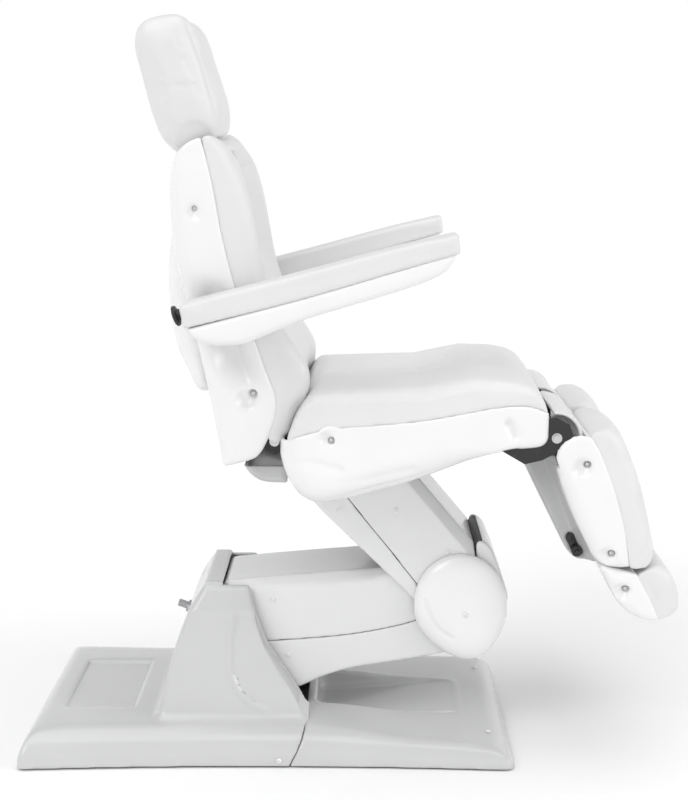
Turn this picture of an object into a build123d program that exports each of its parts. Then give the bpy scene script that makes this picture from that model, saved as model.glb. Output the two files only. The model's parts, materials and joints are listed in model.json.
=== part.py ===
"""An electric treatment chair: base, two-arm lift, seat, backrest, headrest, armrests and two leg rests.

Frame: +X is the way the sitter faces, +Y the sitter's left, +Z up, and z = 0 is the floor.
The origin is on the floor, below the middle of the chair's overall length. Millimetres.
Outlines are (x, z) pairs seen from the sitter's right, unless a comment says otherwise.
"""

from build123d import *
from math import atan2, cos, degrees, hypot, radians, sin
import os

os.makedirs("parts", exist_ok=True)

# ---------------------------------------------------------------- driving dimensions
WALL = 4.0  # moulded covers
PLATE = 6.0  # steel plates
RUNNING = 0.06  # radial clearance of a shaft in its bore
FREE = 1.5  # radial clearance of a shaft passing through a cover
SEAM = 1.5  # between neighbouring covers

BASE_HALF = 278.0  # half width at the floor
PLATEAU_HALF = 216.0  # half width of the base's flat top
PLATEAU_Z = 76.0
COVER_FOOT_Z = 3.0
FOOT_HEIGHT = 12.0
FOOT_R = 20.0
TOWER_TOP_HALF = 130.0
SLOT_HALF = 118.0  # opening between the tower's side walls

LIFT_PIVOT = (-235.0, 285.0)  # lower arm on the base
ELBOW = (245.0, 280.0)  # upper arm on the lower arm
SEAT_PIVOT = (-2.0, 575.0)  # seat on the upper arm
RECLINE_PIVOT = (-140.0, 650.0)
ARMREST_PIVOT = (-212.0, 886.0)
LEG_PIVOT = (407.0, 673.0)
LEG_SLOPE = -68.2  # degrees, the leg rests' own length from level
HEAD_SLOPE = 106.0  # degrees, the headrest posts from level

TOWER_PLATE_Y = 62.0  # inner faces of the plates
LOWER_PLATE_Y = 76.0
LEVEL_CHEEK_Y = 84.0
SEAT_CHEEK_Y = 98.0
UPPER_PLATE_Y = 114.0
LOWER_ARM_HALF = 112.0
UPPER_ARM_HALF = 125.0
ELBOW_CAP_Y = 156.0
MAIN_SHAFT_R = 15.0
PIVOT_PIN_R = 10.0
SPACER_R = 12.0
POST_R = 6.0
RAIL_R = 8.0

SEAT_HALF = 285.0
BACK_HALF = 250.0
HEAD_HALF = 140.0
ARMREST_IN, ARMREST_OUT = 258.0, 346.0
LEG_IN, LEG_OUT = 18.0, 284.0
LEG_BOX_Y = (100.0, 200.0)
KNEE_OUTER_R, KNEE_INNER_R = 50.0, 43.0
SCREW_R = 4.5
SIDES = {"left": 1, "right": -1}


# ---------------------------------------------------------------- helpers
def side_plane(y, origin=(0.0, 0.0), slope=0.0):
    """The plane across the chair at y, its own x sloping by that angle, facing the sitter's right."""
    turn = radians(slope)
    return Plane(origin=(origin[0], y, origin[1]), x_dir=(cos(turn), 0, sin(turn)), z_dir=(0, -1, 0))


def slab(points, y_span, origin=(0.0, 0.0), slope=0.0, inset=0.0):
    """The outline through the points, extruded across the chair over y_span."""
    low, high = sorted(y_span)
    with BuildPart(mode=Mode.PRIVATE) as made:
        with BuildSketch(side_plane(high, origin, slope)):
            with BuildLine():
                Polyline(*points, close=True)
            make_face()
            if inset:
                offset(amount=-inset, kind=Kind.INTERSECTION)
        extrude(amount=high - low)
    return made.part


def link(circles, y_span, bores=(), origin=(0.0, 0.0), slope=0.0):
    """A plate around (x, z, radius) circles, drawn together, with (x, z, radius) bores."""
    low, high = sorted(y_span)
    with BuildPart(mode=Mode.PRIVATE) as made:
        with BuildSketch(side_plane(high, origin, slope)):
            for x, z, radius in circles:
                with Locations((x, z)):
                    Circle(radius)
            make_hull()
            for x, z, radius in bores:
                with Locations((x, z)):
                    Circle(radius, mode=Mode.SUBTRACT)
        extrude(amount=high - low)
    return made.part


def rod(centre, radius, y_span, bore=0.0):
    """A round bar or tube across the chair."""
    low, high = sorted(y_span)
    with BuildPart(mode=Mode.PRIVATE) as made:
        with BuildSketch(side_plane(high, centre)):
            Circle(radius)
            if bore:
                Circle(bore, mode=Mode.SUBTRACT)
        extrude(amount=high - low)
    return made.part


def inclined_bar(start, slope, y, span, radius, bore=0.0):
    """A round bar or tube in a side plane, from span[0] to span[1] along the slope from start."""
    turn = radians(slope)
    along = (cos(turn), 0, sin(turn))
    foot = (start[0] + span[0] * along[0], y, start[1] + span[0] * along[2])
    with BuildPart(mode=Mode.PRIVATE) as made:
        with BuildSketch(Plane(origin=foot, x_dir=(0, 1, 0), z_dir=along)):
            Circle(radius)
            if bore:
                Circle(bore, mode=Mode.SUBTRACT)
        extrude(amount=span[1] - span[0])
    return made.part


def block(x, y, z):
    """A box from (low, high) pairs."""
    with BuildPart(mode=Mode.PRIVATE) as made:
        with Locations(((x[0] + x[1]) / 2, (y[0] + y[1]) / 2, (z[0] + z[1]) / 2)):
            Box(x[1] - x[0], y[1] - y[0], z[1] - z[0])
    return made.part


def screws(points, y_under, y_head):
    """Domed screw heads on both sides of the chair, standing between two distances from its middle."""
    heads = []
    for x, z in points:
        head = rod((x, z), SCREW_R, (y_under, y_head))
        heads += [head, mirror(head, about=Plane.XZ, mode=Mode.PRIVATE)]
    return heads


def both(piece):
    return [piece, mirror(piece, about=Plane.XZ, mode=Mode.PRIVATE)]


def group(pieces):
    """Separate solids kept apart in one node."""
    return Compound(children=[solid for piece in pieces for solid in piece.solids()])


def save(shape, name):
    shape.label = name
    export_step(shape, f"parts/{name}.step")


def beside(side, low, high):
    """The y span low..high on the sitter's left (side 1) or right (side -1)."""
    return (side * low, side * high)


def along_leg(u, v):
    """A leg rest's own (length, thickness) coordinates as (x, z)."""
    turn = radians(LEG_SLOPE)
    return (
        LEG_PIVOT[0] + u * cos(turn) - v * sin(turn),
        LEG_PIVOT[1] + u * sin(turn) + v * cos(turn),
    )


def leg_slab(points, y_span, inset=0.0):
    return slab(points, y_span, LEG_PIVOT, LEG_SLOPE, inset)


# ---------------------------------------------------------------- base
FRAME_Z = (FOOT_HEIGHT, 27.0)
RAIL_X = (-610.0, 280.0)
RAIL_Y = (170.0, 210.0)
CROSS_X = ((-610.0, -570.0), (-345.0, -140.0), (240.0, 280.0))
CROSS_HALF = RAIL_Y[0]
frame_bars = both(block(RAIL_X, RAIL_Y, FRAME_Z))
frame_bars += [block(span, (-CROSS_HALF, CROSS_HALF), FRAME_Z) for span in CROSS_X]
save(group(frame_bars), "base_frame")

FOOT_SPOTS = [(x, y) for x in (-588.0, -150.0, 258.0) for y in (-190.0, 190.0)]
with BuildPart() as levelling_feet:
    with BuildSketch():
        with Locations(*FOOT_SPOTS):
            Circle(FOOT_R)
    extrude(amount=FOOT_HEIGHT)
    fillet(levelling_feet.edges().group_by(Axis.Z)[0], 2.0)
save(levelling_feet.part, "levelling_feet")

TOWER_FOOT = ((-325.0, FRAME_Z[1] + 20, 20.0), (-165.0, FRAME_Z[1] + 20, 20.0))  # x, z, radius
SHAFT_Y = 95.0
tower_plate = link(
    [*TOWER_FOOT, (*LIFT_PIVOT, 32.0)],
    (TOWER_PLATE_Y, TOWER_PLATE_Y + PLATE),
    [(*LIFT_PIVOT, MAIN_SHAFT_R)],
)
tower_pieces = both(tower_plate)
tower_pieces.append(rod(LIFT_PIVOT, MAIN_SHAFT_R, (-SHAFT_Y, SHAFT_Y)))
save(group(tower_pieces), "tower_frame")

LIFT_MOTOR = (-245.0, 120.0)
LIFT_MOTOR_R, LIFT_MOTOR_HALF = 34.0, 45.0
with BuildPart() as lift_motor:
    add(rod(LIFT_MOTOR, LIFT_MOTOR_R, (-LIFT_MOTOR_HALF, LIFT_MOTOR_HALF)))
    for lug in both(block((-275, -215), (LIFT_MOTOR_HALF, TOWER_PLATE_Y), (90, 150))):
        add(lug)
save(lift_motor.part, "lift_motor")

BELOW = -40.0  # the covers' outlines start here and are cut off at COVER_FOOT_Z
SKIRT_SECTION = [  # (y, z), one half
    (BASE_HALF + 4, BELOW),
    (BASE_HALF, COVER_FOOT_Z),
    (271.0, 38.0),
    (250.0, 64.0),
    (PLATEAU_HALF, PLATEAU_Z),
    (205.0, PLATEAU_Z),
    (155.0, 297.0),
    (TOWER_TOP_HALF, 337.0),
]
REAR_OUTLINE = [
    (-659.0, BELOW),
    (-656.2, COVER_FOOT_Z),
    (-652.0, 40.0),
    (-640.0, 70.0),
    (-626.0, PLATEAU_Z),
    (-382.0, PLATEAU_Z),
    (-352.0, 200.0),
    (-319.0, 288.0),
    (-284.0, 337.0),
    (-198.0, 337.0),
    (-192.0, 297.0),
    (-166.0, 220.0),
    (-115.0, 118.0),
    (-82.0, PLATEAU_Z),
    (-110.0, COVER_FOOT_Z),
    (-120.0, BELOW),
]
FRONT_OUTLINE = [
    (-118.0, BELOW),
    (-108.0, COVER_FOOT_Z),
    (-80.0, PLATEAU_Z),
    (-22.0, 68.0),
    (109.0, 47.0),
    (304.0, 33.0),
    (326.0, 26.0),
    (337.0, 14.0),
    (341.0, COVER_FOOT_Z),
    (343.0, BELOW),
]


def cover_body(outline, inset):
    """What a side outline and the skirt's cross-section have in common, both drawn in by inset."""
    section = SKIRT_SECTION + [(-y, z) for y, z in reversed(SKIRT_SECTION)]
    with BuildPart(mode=Mode.PRIVATE) as made:
        with BuildSketch(Plane.YZ.offset(-700)):
            with BuildLine():
                Polyline(*section, close=True)
            make_face()
            if inset:
                offset(amount=-inset, kind=Kind.INTERSECTION)
        extrude(amount=1400)
        add(slab(outline, (-BASE_HALF - 20, BASE_HALF + 20), inset=inset), mode=Mode.INTERSECT)
    return made.part


INLET, INLET_R = ((-330.0, 247.0), 159.0), 8.5  # its root and the way it points, in degrees
TREAD_X, TREAD_HALF, TREAD_DEPTH = (-600.0, -425.0), 165.0, 5.0
SLOT_X = (-268.0, -60.0)
RAIL_TUNNEL = block((-135.0, -60.0), (-RAIL_Y[1] - 2, RAIL_Y[1] + 2), (0.0, 45.0))
with BuildPart() as rear_cover:
    add(cover_body(REAR_OUTLINE, 0))
    add(cover_body(REAR_OUTLINE, WALL), mode=Mode.SUBTRACT)
    # the lower arm moves between the tower's side walls, and down into the base
    add(block(SLOT_X, (-SLOT_HALF, SLOT_HALF), (45, 400)), mode=Mode.SUBTRACT)
    # sunk tread on the rear step
    add(
        block(
            (TREAD_X[0] - WALL, TREAD_X[1] + WALL),
            (-TREAD_HALF - WALL, TREAD_HALF + WALL),
            (PLATEAU_Z - TREAD_DEPTH - WALL, PLATEAU_Z - WALL),
        )
    )
    add(
        block(TREAD_X, (-TREAD_HALF, TREAD_HALF), (PLATEAU_Z - TREAD_DEPTH, PLATEAU_Z + 1)),
        mode=Mode.SUBTRACT,
    )
    # the frame's rails and the power inlet pass through
    add(RAIL_TUNNEL, mode=Mode.SUBTRACT)
    add(inclined_bar(*INLET, 0, (0, 60), INLET_R + 0.5), mode=Mode.SUBTRACT)
    split(bisect_by=Plane.XY.offset(COVER_FOOT_Z), keep=Keep.TOP)
save(rear_cover.part, "rear_cover")

WELL_X, WELL_HALF, WELL_FLOOR = (-20.0, 232.0), 95.0, 18.0
well_walls = cover_body(FRONT_OUTLINE, 0) & block(
    (WELL_X[0] - WALL, WELL_X[1] + WALL), (-WELL_HALF - WALL, WELL_HALF + WALL), (WELL_FLOOR, 100.0)
)
with BuildPart() as front_cover:
    add(cover_body(FRONT_OUTLINE, 0))
    add(cover_body(FRONT_OUTLINE, WALL), mode=Mode.SUBTRACT)
    # a sunk channel under the elbow
    add(well_walls)
    add(block(WELL_X, (-WELL_HALF, WELL_HALF), (WELL_FLOOR + WALL, 120)), mode=Mode.SUBTRACT)
    add(RAIL_TUNNEL, mode=Mode.SUBTRACT)
    split(bisect_by=Plane.XY.offset(COVER_FOOT_Z), keep=Keep.TOP)
save(front_cover.part, "front_cover")

with BuildPart() as inlet_connector:
    add(inclined_bar(*INLET, 0, (0, 32), INLET_R))
    add(inclined_bar(*INLET, 0, (6, 11), INLET_R + 4.5))
save(inlet_connector.part, "inlet_connector")

BASE_SCREW, BASE_SCREW_Y = (-131.5, 16.0), 276.4
save(group(screws([BASE_SCREW], BASE_SCREW_Y, BASE_SCREW_Y + 2.5)), "base_screws")

# ---------------------------------------------------------------- lower arm
lower_plate = link(
    [(*LIFT_PIVOT, 36.0), (*ELBOW, 44.0)],
    (LOWER_PLATE_Y, LOWER_PLATE_Y + PLATE),
    [(*LIFT_PIVOT, MAIN_SHAFT_R + RUNNING), (*ELBOW, MAIN_SHAFT_R)],
)
lower_pieces = both(lower_plate)
for x in (-110.0, 20.0, 140.0):
    lower_pieces.append(rod((x, 283.0), SPACER_R, (-LOWER_PLATE_Y, LOWER_PLATE_Y)))
lower_pieces.append(rod(ELBOW, MAIN_SHAFT_R, (-UPPER_PLATE_Y - PLATE, UPPER_PLATE_Y + PLATE)))
save(group(lower_pieces), "lower_arm_frame")

NOSE_R = 86.0  # the arm's rounded end, around the elbow


def nose(start, end, steps=10):
    """Points around the elbow at the nose's radius, between two angles in degrees."""
    angles = [radians(start + (end - start) * i / steps) for i in range(steps + 1)]
    return [(ELBOW[0] + NOSE_R * cos(a), ELBOW[1] + NOSE_R * sin(a)) for a in angles]


LOWER_SEAM = [
    (-262.0, 206.0),
    (-165.0, 209.0),
    (8.0, 224.0),
    (103.0, 242.0),
    (180.0, 262.0),
    (340.0, 268.0),
]
LOWER_OUTLINE = [
    (-262.0, 150.0),
    (-262.0, 312.0),
    (-252.0, 333.0),
    (-208.0, 338.0),
    (54.0, 361.0),
    (150.0, 368.0),
    *nose(90, -85),
    (196.0, 183.0),
    (113.0, 168.0),
    (9.0, 150.0),
    (-53.0, 130.0),
    (-102.0, 108.0),
    (-180.0, 96.0),
    (-240.0, 112.0),
]


def lower_arm_half(above):
    """The arm's cover, above or below the seam between its two mouldings."""
    shift = SEAM / 2 if above else -SEAM / 2
    far = 500.0 if above else 0.0
    seam = [(x, z + shift) for x, z in LOWER_SEAM]
    region = [(-300.0, seam[0][1]), *seam, (400.0, seam[-1][1]), (400.0, far), (-300.0, far)]
    with BuildPart(mode=Mode.PRIVATE) as made:
        add(slab(LOWER_OUTLINE, (-LOWER_ARM_HALF, LOWER_ARM_HALF)))
        add(
            slab(LOWER_OUTLINE, (-LOWER_ARM_HALF + WALL, LOWER_ARM_HALF - WALL), inset=WALL),
            mode=Mode.SUBTRACT,
        )
        add(slab(region, (-200, 200)), mode=Mode.INTERSECT)
    return made.part


with BuildPart() as lower_arm_top_cover:
    add(lower_arm_half(True))
    add(rod(ELBOW, MAIN_SHAFT_R + FREE, (-200, 200)), mode=Mode.SUBTRACT)
    # open at the back, round the lift shaft's plates
    add(block((-300, -200), (-90, 90), (150, 320)), mode=Mode.SUBTRACT)
save(lower_arm_top_cover.part, "lower_arm_top_cover")

with BuildPart() as lower_arm_bottom_cover:
    add(lower_arm_half(False))
    add(rod(ELBOW, MAIN_SHAFT_R + FREE, (-200, 200)), mode=Mode.SUBTRACT)
    # open inside the tower, where the tower's own plates stand
    add(block((-300, -120), (-90, 90), (0, 320)), mode=Mode.SUBTRACT)
save(lower_arm_bottom_cover.part, "lower_arm_bottom_cover")
LOWER_SCREW_SPOTS = [(-150.0, 300.0), (-119.5, 180.0)]
save(group(screws(LOWER_SCREW_SPOTS, LOWER_ARM_HALF, LOWER_ARM_HALF + 2.5)), "lower_arm_screws")

# ---------------------------------------------------------------- upper arm
# its own coordinates: along from the elbow to the seat pivot, and out towards the rear
ARM_RUN = (SEAT_PIVOT[0] - ELBOW[0], SEAT_PIVOT[1] - ELBOW[1])
ARM_LENGTH = hypot(*ARM_RUN)
ARM_SLOPE = degrees(atan2(ARM_RUN[1], ARM_RUN[0]))


def arm_slab(points, y_span, inset=0.0):
    return slab(points, y_span, ELBOW, ARM_SLOPE, inset)


upper_plate = link(
    [(0, 0, 42.0), (ARM_LENGTH, 0, 34.0)],
    (UPPER_PLATE_Y, UPPER_PLATE_Y + PLATE),
    [(0, 0, MAIN_SHAFT_R + RUNNING), (ARM_LENGTH, 0, MAIN_SHAFT_R)],
    ELBOW,
    ARM_SLOPE,
)
upper_pieces = both(upper_plate)
spacer_spots = ((165.0, -28.0), (265.0, -16.0))
with BuildPart() as upper_spacers:
    for spot in spacer_spots:
        with BuildSketch(side_plane(UPPER_PLATE_Y, ELBOW, ARM_SLOPE)):
            with Locations(spot):
                Circle(SPACER_R)
        extrude(amount=2 * UPPER_PLATE_Y)
upper_pieces += upper_spacers.part.solids()
upper_pieces.append(rod(SEAT_PIVOT, MAIN_SHAFT_R, (-UPPER_PLATE_Y - PLATE, UPPER_PLATE_Y + PLATE)))
save(group(upper_pieces), "upper_arm_frame")

ARM_FRONT_HALF = 82.0  # half width of the housing's flat front
ARM_OUTLINE = [
    (60.0, 62.0),
    (349.0, 90.0),
    (378.0, 90.0),
    (305.0, -125.0),
    (20.0, -125.0),
    (20.0, -90.0),
]
ARM_CAVITY = [(0.0, 52.7), (349.0, 86.0), (420.0, 86.0), (420.0, -121.0), (0.0, -121.0)]
ARM_MOUTH = [(0.0, -80.0), (300.0, -30.0), (300.0, 300.0), (0.0, 300.0)]
ARM_SECTION = [  # (y, out towards the rear), one half
    (UPPER_ARM_HALF, 120.0),
    (UPPER_ARM_HALF, -82.0),
    (ARM_FRONT_HALF, -125.0),
]
ARM_SEAM = [(40.0, 47.0), (101.0, 40.0), (303.0, 33.0), (420.0, 30.0)]
ELBOW_SWEEP_R = 100.0  # kept clear round the lower arm's rounded end


def arm_section(inset):
    """The housing's cross-section, swept along the arm."""
    section = ARM_SECTION + [(-y, rear) for y, rear in reversed(ARM_SECTION)]
    turn = radians(ARM_SLOPE)
    along = (cos(turn), 0, sin(turn))
    with BuildPart(mode=Mode.PRIVATE) as made:
        with BuildSketch(Plane(origin=(ELBOW[0], 0, ELBOW[1]), x_dir=(0, 1, 0), z_dir=along)):
            with BuildLine():
                Polyline(*section, close=True)
            make_face()
            if inset:
                offset(amount=-inset, kind=Kind.INTERSECTION)
        extrude(amount=500)
    return made.part


def arm_housing():
    """The housing's walls: open at both ends and along the rear, where the lower arm folds in."""
    with BuildPart(mode=Mode.PRIVATE) as made:
        add(arm_section(0))
        add(arm_slab(ARM_OUTLINE, (-200, 200)), mode=Mode.INTERSECT)
        add(arm_slab(ARM_CAVITY, (-200, 200)) & arm_section(WALL), mode=Mode.SUBTRACT)
        add(arm_slab(ARM_MOUTH, (WALL - UPPER_ARM_HALF, UPPER_ARM_HALF - WALL)), mode=Mode.SUBTRACT)
        add(rod(ELBOW, ELBOW_SWEEP_R, (-200, 200)), mode=Mode.SUBTRACT)
        # the elbow's own front cover fills this
        add(arm_slab([(-80, -200), (122, -200), (122, -60), (-80, -60)], (-84, 84)), mode=Mode.SUBTRACT)
    return made.part


def seam_side(rear):
    """Everything on the rear or the front side of the seam along the housing."""
    shift = SEAM / 2 if rear else -SEAM / 2
    far = 300.0 if rear else -300.0
    line = [(a, b + shift) for a, b in ARM_SEAM]
    return arm_slab([*line, (line[-1][0], far), (line[0][0], far)], (-200, 200))


with BuildPart() as upper_arm_front_cover:
    add(arm_housing())
    add(seam_side(False), mode=Mode.INTERSECT)
save(upper_arm_front_cover.part, "upper_arm_front_cover")

with BuildPart() as upper_arm_rear_cover:
    add(arm_housing())
    add(seam_side(True), mode=Mode.INTERSECT)
save(upper_arm_rear_cover.part, "upper_arm_rear_cover")

NOSE_COVER_HALF = 79.0
NOSE_COVER = [
    (118.0, -112.0),
    (118.0, -127.0),
    (103.0, -136.5),
    (79.0, -139.5),
    (38.0, -120.0),
    (-12.0, -94.0),
]
with BuildPart() as elbow_front_cover:
    add(arm_slab(NOSE_COVER + [(-30.0, -60.0), (60.0, -60.0)], (-NOSE_COVER_HALF, NOSE_COVER_HALF)))
    add(rod(ELBOW, NOSE_R + 3.0, (-200, 200)), mode=Mode.SUBTRACT)
save(elbow_front_cover.part, "elbow_front_cover")

CAP_CENTRE = (235.0, 290.0)
CAP_RADII = (95.0, 112.0)
with BuildPart() as right_elbow_cap:
    with BuildSketch(side_plane(-UPPER_ARM_HALF - 0.5, CAP_CENTRE)):
        Ellipse(*CAP_RADII)
    extrude(amount=ELBOW_CAP_Y - UPPER_ARM_HALF - 0.5, taper=12)
    fillet(right_elbow_cap.faces().sort_by(Axis.Y)[0].edges(), 12.0)
save(group(both(right_elbow_cap.part)), "elbow_caps")
arm_screw_spots = [(102.5, 493.0), (208.5, 407.0), (-13.5, 491.0)]
arm_screws = screws(arm_screw_spots, UPPER_ARM_HALF, UPPER_ARM_HALF + 2.5)
arm_screws += screws([ELBOW], ELBOW_CAP_Y, ELBOW_CAP_Y + 2.5)
save(group(arm_screws), "upper_arm_screws")

# ---------------------------------------------------------------- levelling bracket on the seat shaft
LEVER = (62.0, 640.0)
with BuildPart() as level_bracket:
    cheek = link(
        [(*SEAT_PIVOT, 30.0), (*LEVER, 20.0)],
        (LEVEL_CHEEK_Y, LEVEL_CHEEK_Y + PLATE),
        [(*SEAT_PIVOT, MAIN_SHAFT_R + RUNNING)],
    )
    for piece in both(cheek):
        add(piece)
    add(rod(LEVER, SPACER_R, (-LEVEL_CHEEK_Y, LEVEL_CHEEK_Y)))
save(level_bracket.part, "level_bracket")
with BuildPart() as tilt_motor:
    add(rod(LEVER, 26.0, (-55.0, 55.0), SPACER_R + 0.1))
    add(block((70, 100), (-30, 30), (628, 652)))
    add(rod(LEVER, SPACER_R + 0.1, (-60, 60)), mode=Mode.SUBTRACT)
save(tilt_motor.part, "tilt_motor")

# ---------------------------------------------------------------- seat
SEAT_SEAM = [  # where the cushion meets the shell, front to rear
    (387.0, 723.0),
    (352.0, 735.0),
    (295.0, 733.0),
    (238.0, 723.0),
    (162.0, 709.0),
    (67.0, 699.0),
    (-10.0, 693.0),
    (-57.0, 685.0),
    (-85.0, 676.0),
]
SHELL_UNDERSIDE = [  # rear to front
    (-108.0, 666.0),
    (-114.0, 629.0),
    (-93.0, 571.0),
    (-76.0, 548.0),
    (-47.0, 536.0),
    (30.0, 551.0),
    (106.0, 572.0),
    (182.0, 600.0),
    (240.0, 628.0),
    (296.0, 643.0),
    (335.0, 651.0),
    (386.0, 663.0),
    (390.0, 683.0),
]
SHELL_THICK = 5.0
FRONT_WINDOW_HALF = 274.0  # the leg rests' knee rolls turn in the shell's open front
ARM_WINDOW_HALF = 130.0
raised_seam = [(x, z + 40) for x, z in SEAT_SEAM]
with BuildPart() as seat_shell:
    add(slab(SEAT_SEAM + SHELL_UNDERSIDE, (-SEAT_HALF, SEAT_HALF)))
    add(
        slab(
            raised_seam + SHELL_UNDERSIDE,
            (SHELL_THICK - SEAT_HALF, SEAT_HALF - SHELL_THICK),
            inset=SHELL_THICK,
        ),
        mode=Mode.SUBTRACT,
    )
    add(block((335, 420), (-FRONT_WINDOW_HALF, FRONT_WINDOW_HALF), (600, 780)), mode=Mode.SUBTRACT)
    for opening in both(block((283, 420), (266, 279), (600, 730))):
        add(opening, mode=Mode.SUBTRACT)
    add(block((-125, 205), (-ARM_WINDOW_HALF, ARM_WINDOW_HALF), (500, 640)), mode=Mode.SUBTRACT)
    # the hinge brackets pass through the rear wall
    for opening in both(block((-125, -75), (184, 200), (600, 690))):
        add(opening, mode=Mode.SUBTRACT)
save(seat_shell.part, "seat_shell")

PAN_HALF = 178.0
PAN_OUTLINE = [
    (-216.0, 618.0),
    (-205.0, 602.0),
    (-195.0, 583.0),
    (-180.0, 568.0),
    (-160.0, 560.0),
    (-116.5, 558.0),
    (-116.5, 618.0),
]
PAN_CAVITY = [
    (-230.0, 660.0),
    *[(x + 2.5, z + 3.5) for x, z in PAN_OUTLINE[:5]],
    (-100.0, 562.0),
    (-100.0, 660.0),
]
with BuildPart() as rear_under_cover:
    add(slab(PAN_OUTLINE, (-PAN_HALF, PAN_HALF)))
    add(slab(PAN_CAVITY, (WALL - PAN_HALF, PAN_HALF - WALL)), mode=Mode.SUBTRACT)
save(rear_under_cover.part, "rear_under_cover")

SEAT_TOP = [  # rear to front, at the middle
    (-84.0, 745.0),
    (-66.0, 776.0),
    (-33.0, 790.0),
    (175.0, 794.0),
    (257.0, 814.0),
    (318.0, 815.0),
    (362.0, 790.0),
    (380.0, 762.0),
    (388.0, 728.0),
]
SEAT_SECTION = [(282.0, 600.0), (285.0, 735.0), (268.0, 770.0), (205.0, 792.0), (100.0, 818.0)]  # (y, z)
cushion_underside = [(x, z + 1.5) for x, z in SEAT_SEAM]
with BuildPart() as seat_cushion:
    with BuildSketch(Plane.YZ.offset(-200)):
        with BuildLine():
            Polyline(*SEAT_SECTION, *[(-y, z) for y, z in reversed(SEAT_SECTION)], close=True)
        make_face()
    extrude(amount=700)
    add(slab(SEAT_TOP + cushion_underside, (-300, 300)), mode=Mode.INTERSECT)
save(seat_cushion.part, "seat_cushion")

BEAM_Y = (205.0, 217.0)
seat_beam = slab([(-98, 640), (-98, 662), (315, 706), (315, 668), (200, 650)], BEAM_Y)
seat_cheek = link(
    [(*SEAT_PIVOT, 30.0), (-60.0, 668.0, 8.0), (120.0, 682.0, 8.0)],
    (SEAT_CHEEK_Y, SEAT_CHEEK_Y + PLATE),
    [(*SEAT_PIVOT, MAIN_SHAFT_R + RUNNING)],
)
seat_pieces = both(seat_beam) + both(seat_cheek)
seat_pieces.append(block((-62, -38), (-BEAM_Y[0], BEAM_Y[0]), (676.5, 682.0)))
seat_pieces.append(block((96, 120), (-BEAM_Y[0], BEAM_Y[0]), (690.5, 698.0)))
seat_pieces.append(rod((305.0, 686.0), 14.0, (-BEAM_Y[0], BEAM_Y[0])))
seat_pieces += both(rod((305.0, 686.0), 14.0, (BEAM_Y[1], 270.0)))
save(group(seat_pieces), "seat_frame")

RECLINE_BRACKET_Y = (190.0, 196.0)
KNEE_BRACKET_Y = (270.0, 276.0)
KNEE_INNER_Y = (6.0, 12.0)
KNEE_BRACKET = [
    (290.0, 698.0),
    (290.0, 655.0),
    (346.0, 622.0),
    (380.0, 630.0),
    (425.0, 655.0),
    (440.0, 675.0),
    (430.0, 700.0),
    (407.0, 712.0),
    (360.0, 712.0),
]
recline_bracket = link(
    [(*RECLINE_PIVOT, 24.0), (-95.0, 650.0, 12.0), (-60.0, 662.0, 8.0)],
    RECLINE_BRACKET_Y,
    [(*RECLINE_PIVOT, PIVOT_PIN_R)],
)
knee_outer = slab(KNEE_BRACKET, KNEE_BRACKET_Y) - rod(LEG_PIVOT, PIVOT_PIN_R, (200, 300))
knee_inner = link(
    [(*LEG_PIVOT, 20.0), (305.0, 686.0, 20.0)],
    KNEE_INNER_Y,
    [(*LEG_PIVOT, PIVOT_PIN_R), (305.0, 686.0, 14.0)],
)
bracket_pieces = both(recline_bracket) + both(knee_outer) + both(knee_inner)
save(group(bracket_pieces), "seat_brackets")

pins = both(rod(RECLINE_PIVOT, PIVOT_PIN_R, (178.0, RECLINE_BRACKET_Y[1] + 2)))
pins += both(rod(LEG_PIVOT, PIVOT_PIN_R, (KNEE_INNER_Y[0] - 2, KNEE_BRACKET_Y[1])))
pins += both(rod(LEG_PIVOT, 7.0, (KNEE_BRACKET_Y[1], KNEE_BRACKET_Y[1] + 6)))
save(group(pins), "seat_pivot_pins")
seat_screw_spots = [(-26.0, 668.0), (321.0, 696.0)]
save(group(screws(seat_screw_spots, SEAT_HALF, SEAT_HALF + 1.5)), "seat_screws")

# ---------------------------------------------------------------- backrest
BACK_FRONT = [  # the shell's front edge, bottom to top
    (-148.0, 668.0),
    (-134.5, 707.0),
    (-134.5, 746.0),
    (-151.5, 794.0),
    (-173.5, 858.0),
    (-210.5, 961.0),
    (-235.5, 1064.0),
    (-247.5, 1136.0),
    (-261.5, 1201.0),
    (-270.5, 1234.0),
]
BACK_REAR = [  # top to bottom
    (-304.5, 1215.0),
    (-323.5, 1191.0),
    (-328.5, 1126.0),
    (-327.5, 1052.0),
    (-315.5, 986.0),
    (-303.5, 938.0),
    (-285.5, 852.0),
    (-268.5, 765.0),
    (-237.5, 608.0),
    (-202.5, 622.0),
    (-173.5, 638.0),
]
WING_IN = 205.0  # the shell's bottom is open between its side wings
BACK_CAVITY = [(x + 60, z) for x, z in BACK_FRONT]
BACK_CAVITY += [
    (-302.0, 1208.0),
    (-318.0, 1188.0),
    (-323.0, 1126.0),
    (-322.0, 1052.0),
    (-310.0, 986.0),
    (-298.0, 938.0),
    (-280.0, 852.0),
    (-263.0, 765.0),
    (-234.5, 616.0),
    (-205.0, 628.0),
    (-176.0, 643.0),
]
with BuildPart() as back_shell:
    add(slab(BACK_FRONT + BACK_REAR, (-BACK_HALF, BACK_HALF)))
    add(slab(BACK_CAVITY, (SHELL_THICK - BACK_HALF, BACK_HALF - SHELL_THICK)), mode=Mode.SUBTRACT)
    add(rod(RECLINE_PIVOT, 97.0, (-WING_IN, WING_IN)), mode=Mode.SUBTRACT)
    for y in (-50, 50):
        add(inclined_bar((-322, 1290), HEAD_SLOPE, y, (-140, 60), POST_R + FREE), mode=Mode.SUBTRACT)
    add(rod(ARMREST_PIVOT, PIVOT_PIN_R + FREE, (-300, 300)), mode=Mode.SUBTRACT)
save(back_shell.part, "back_shell")

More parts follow.
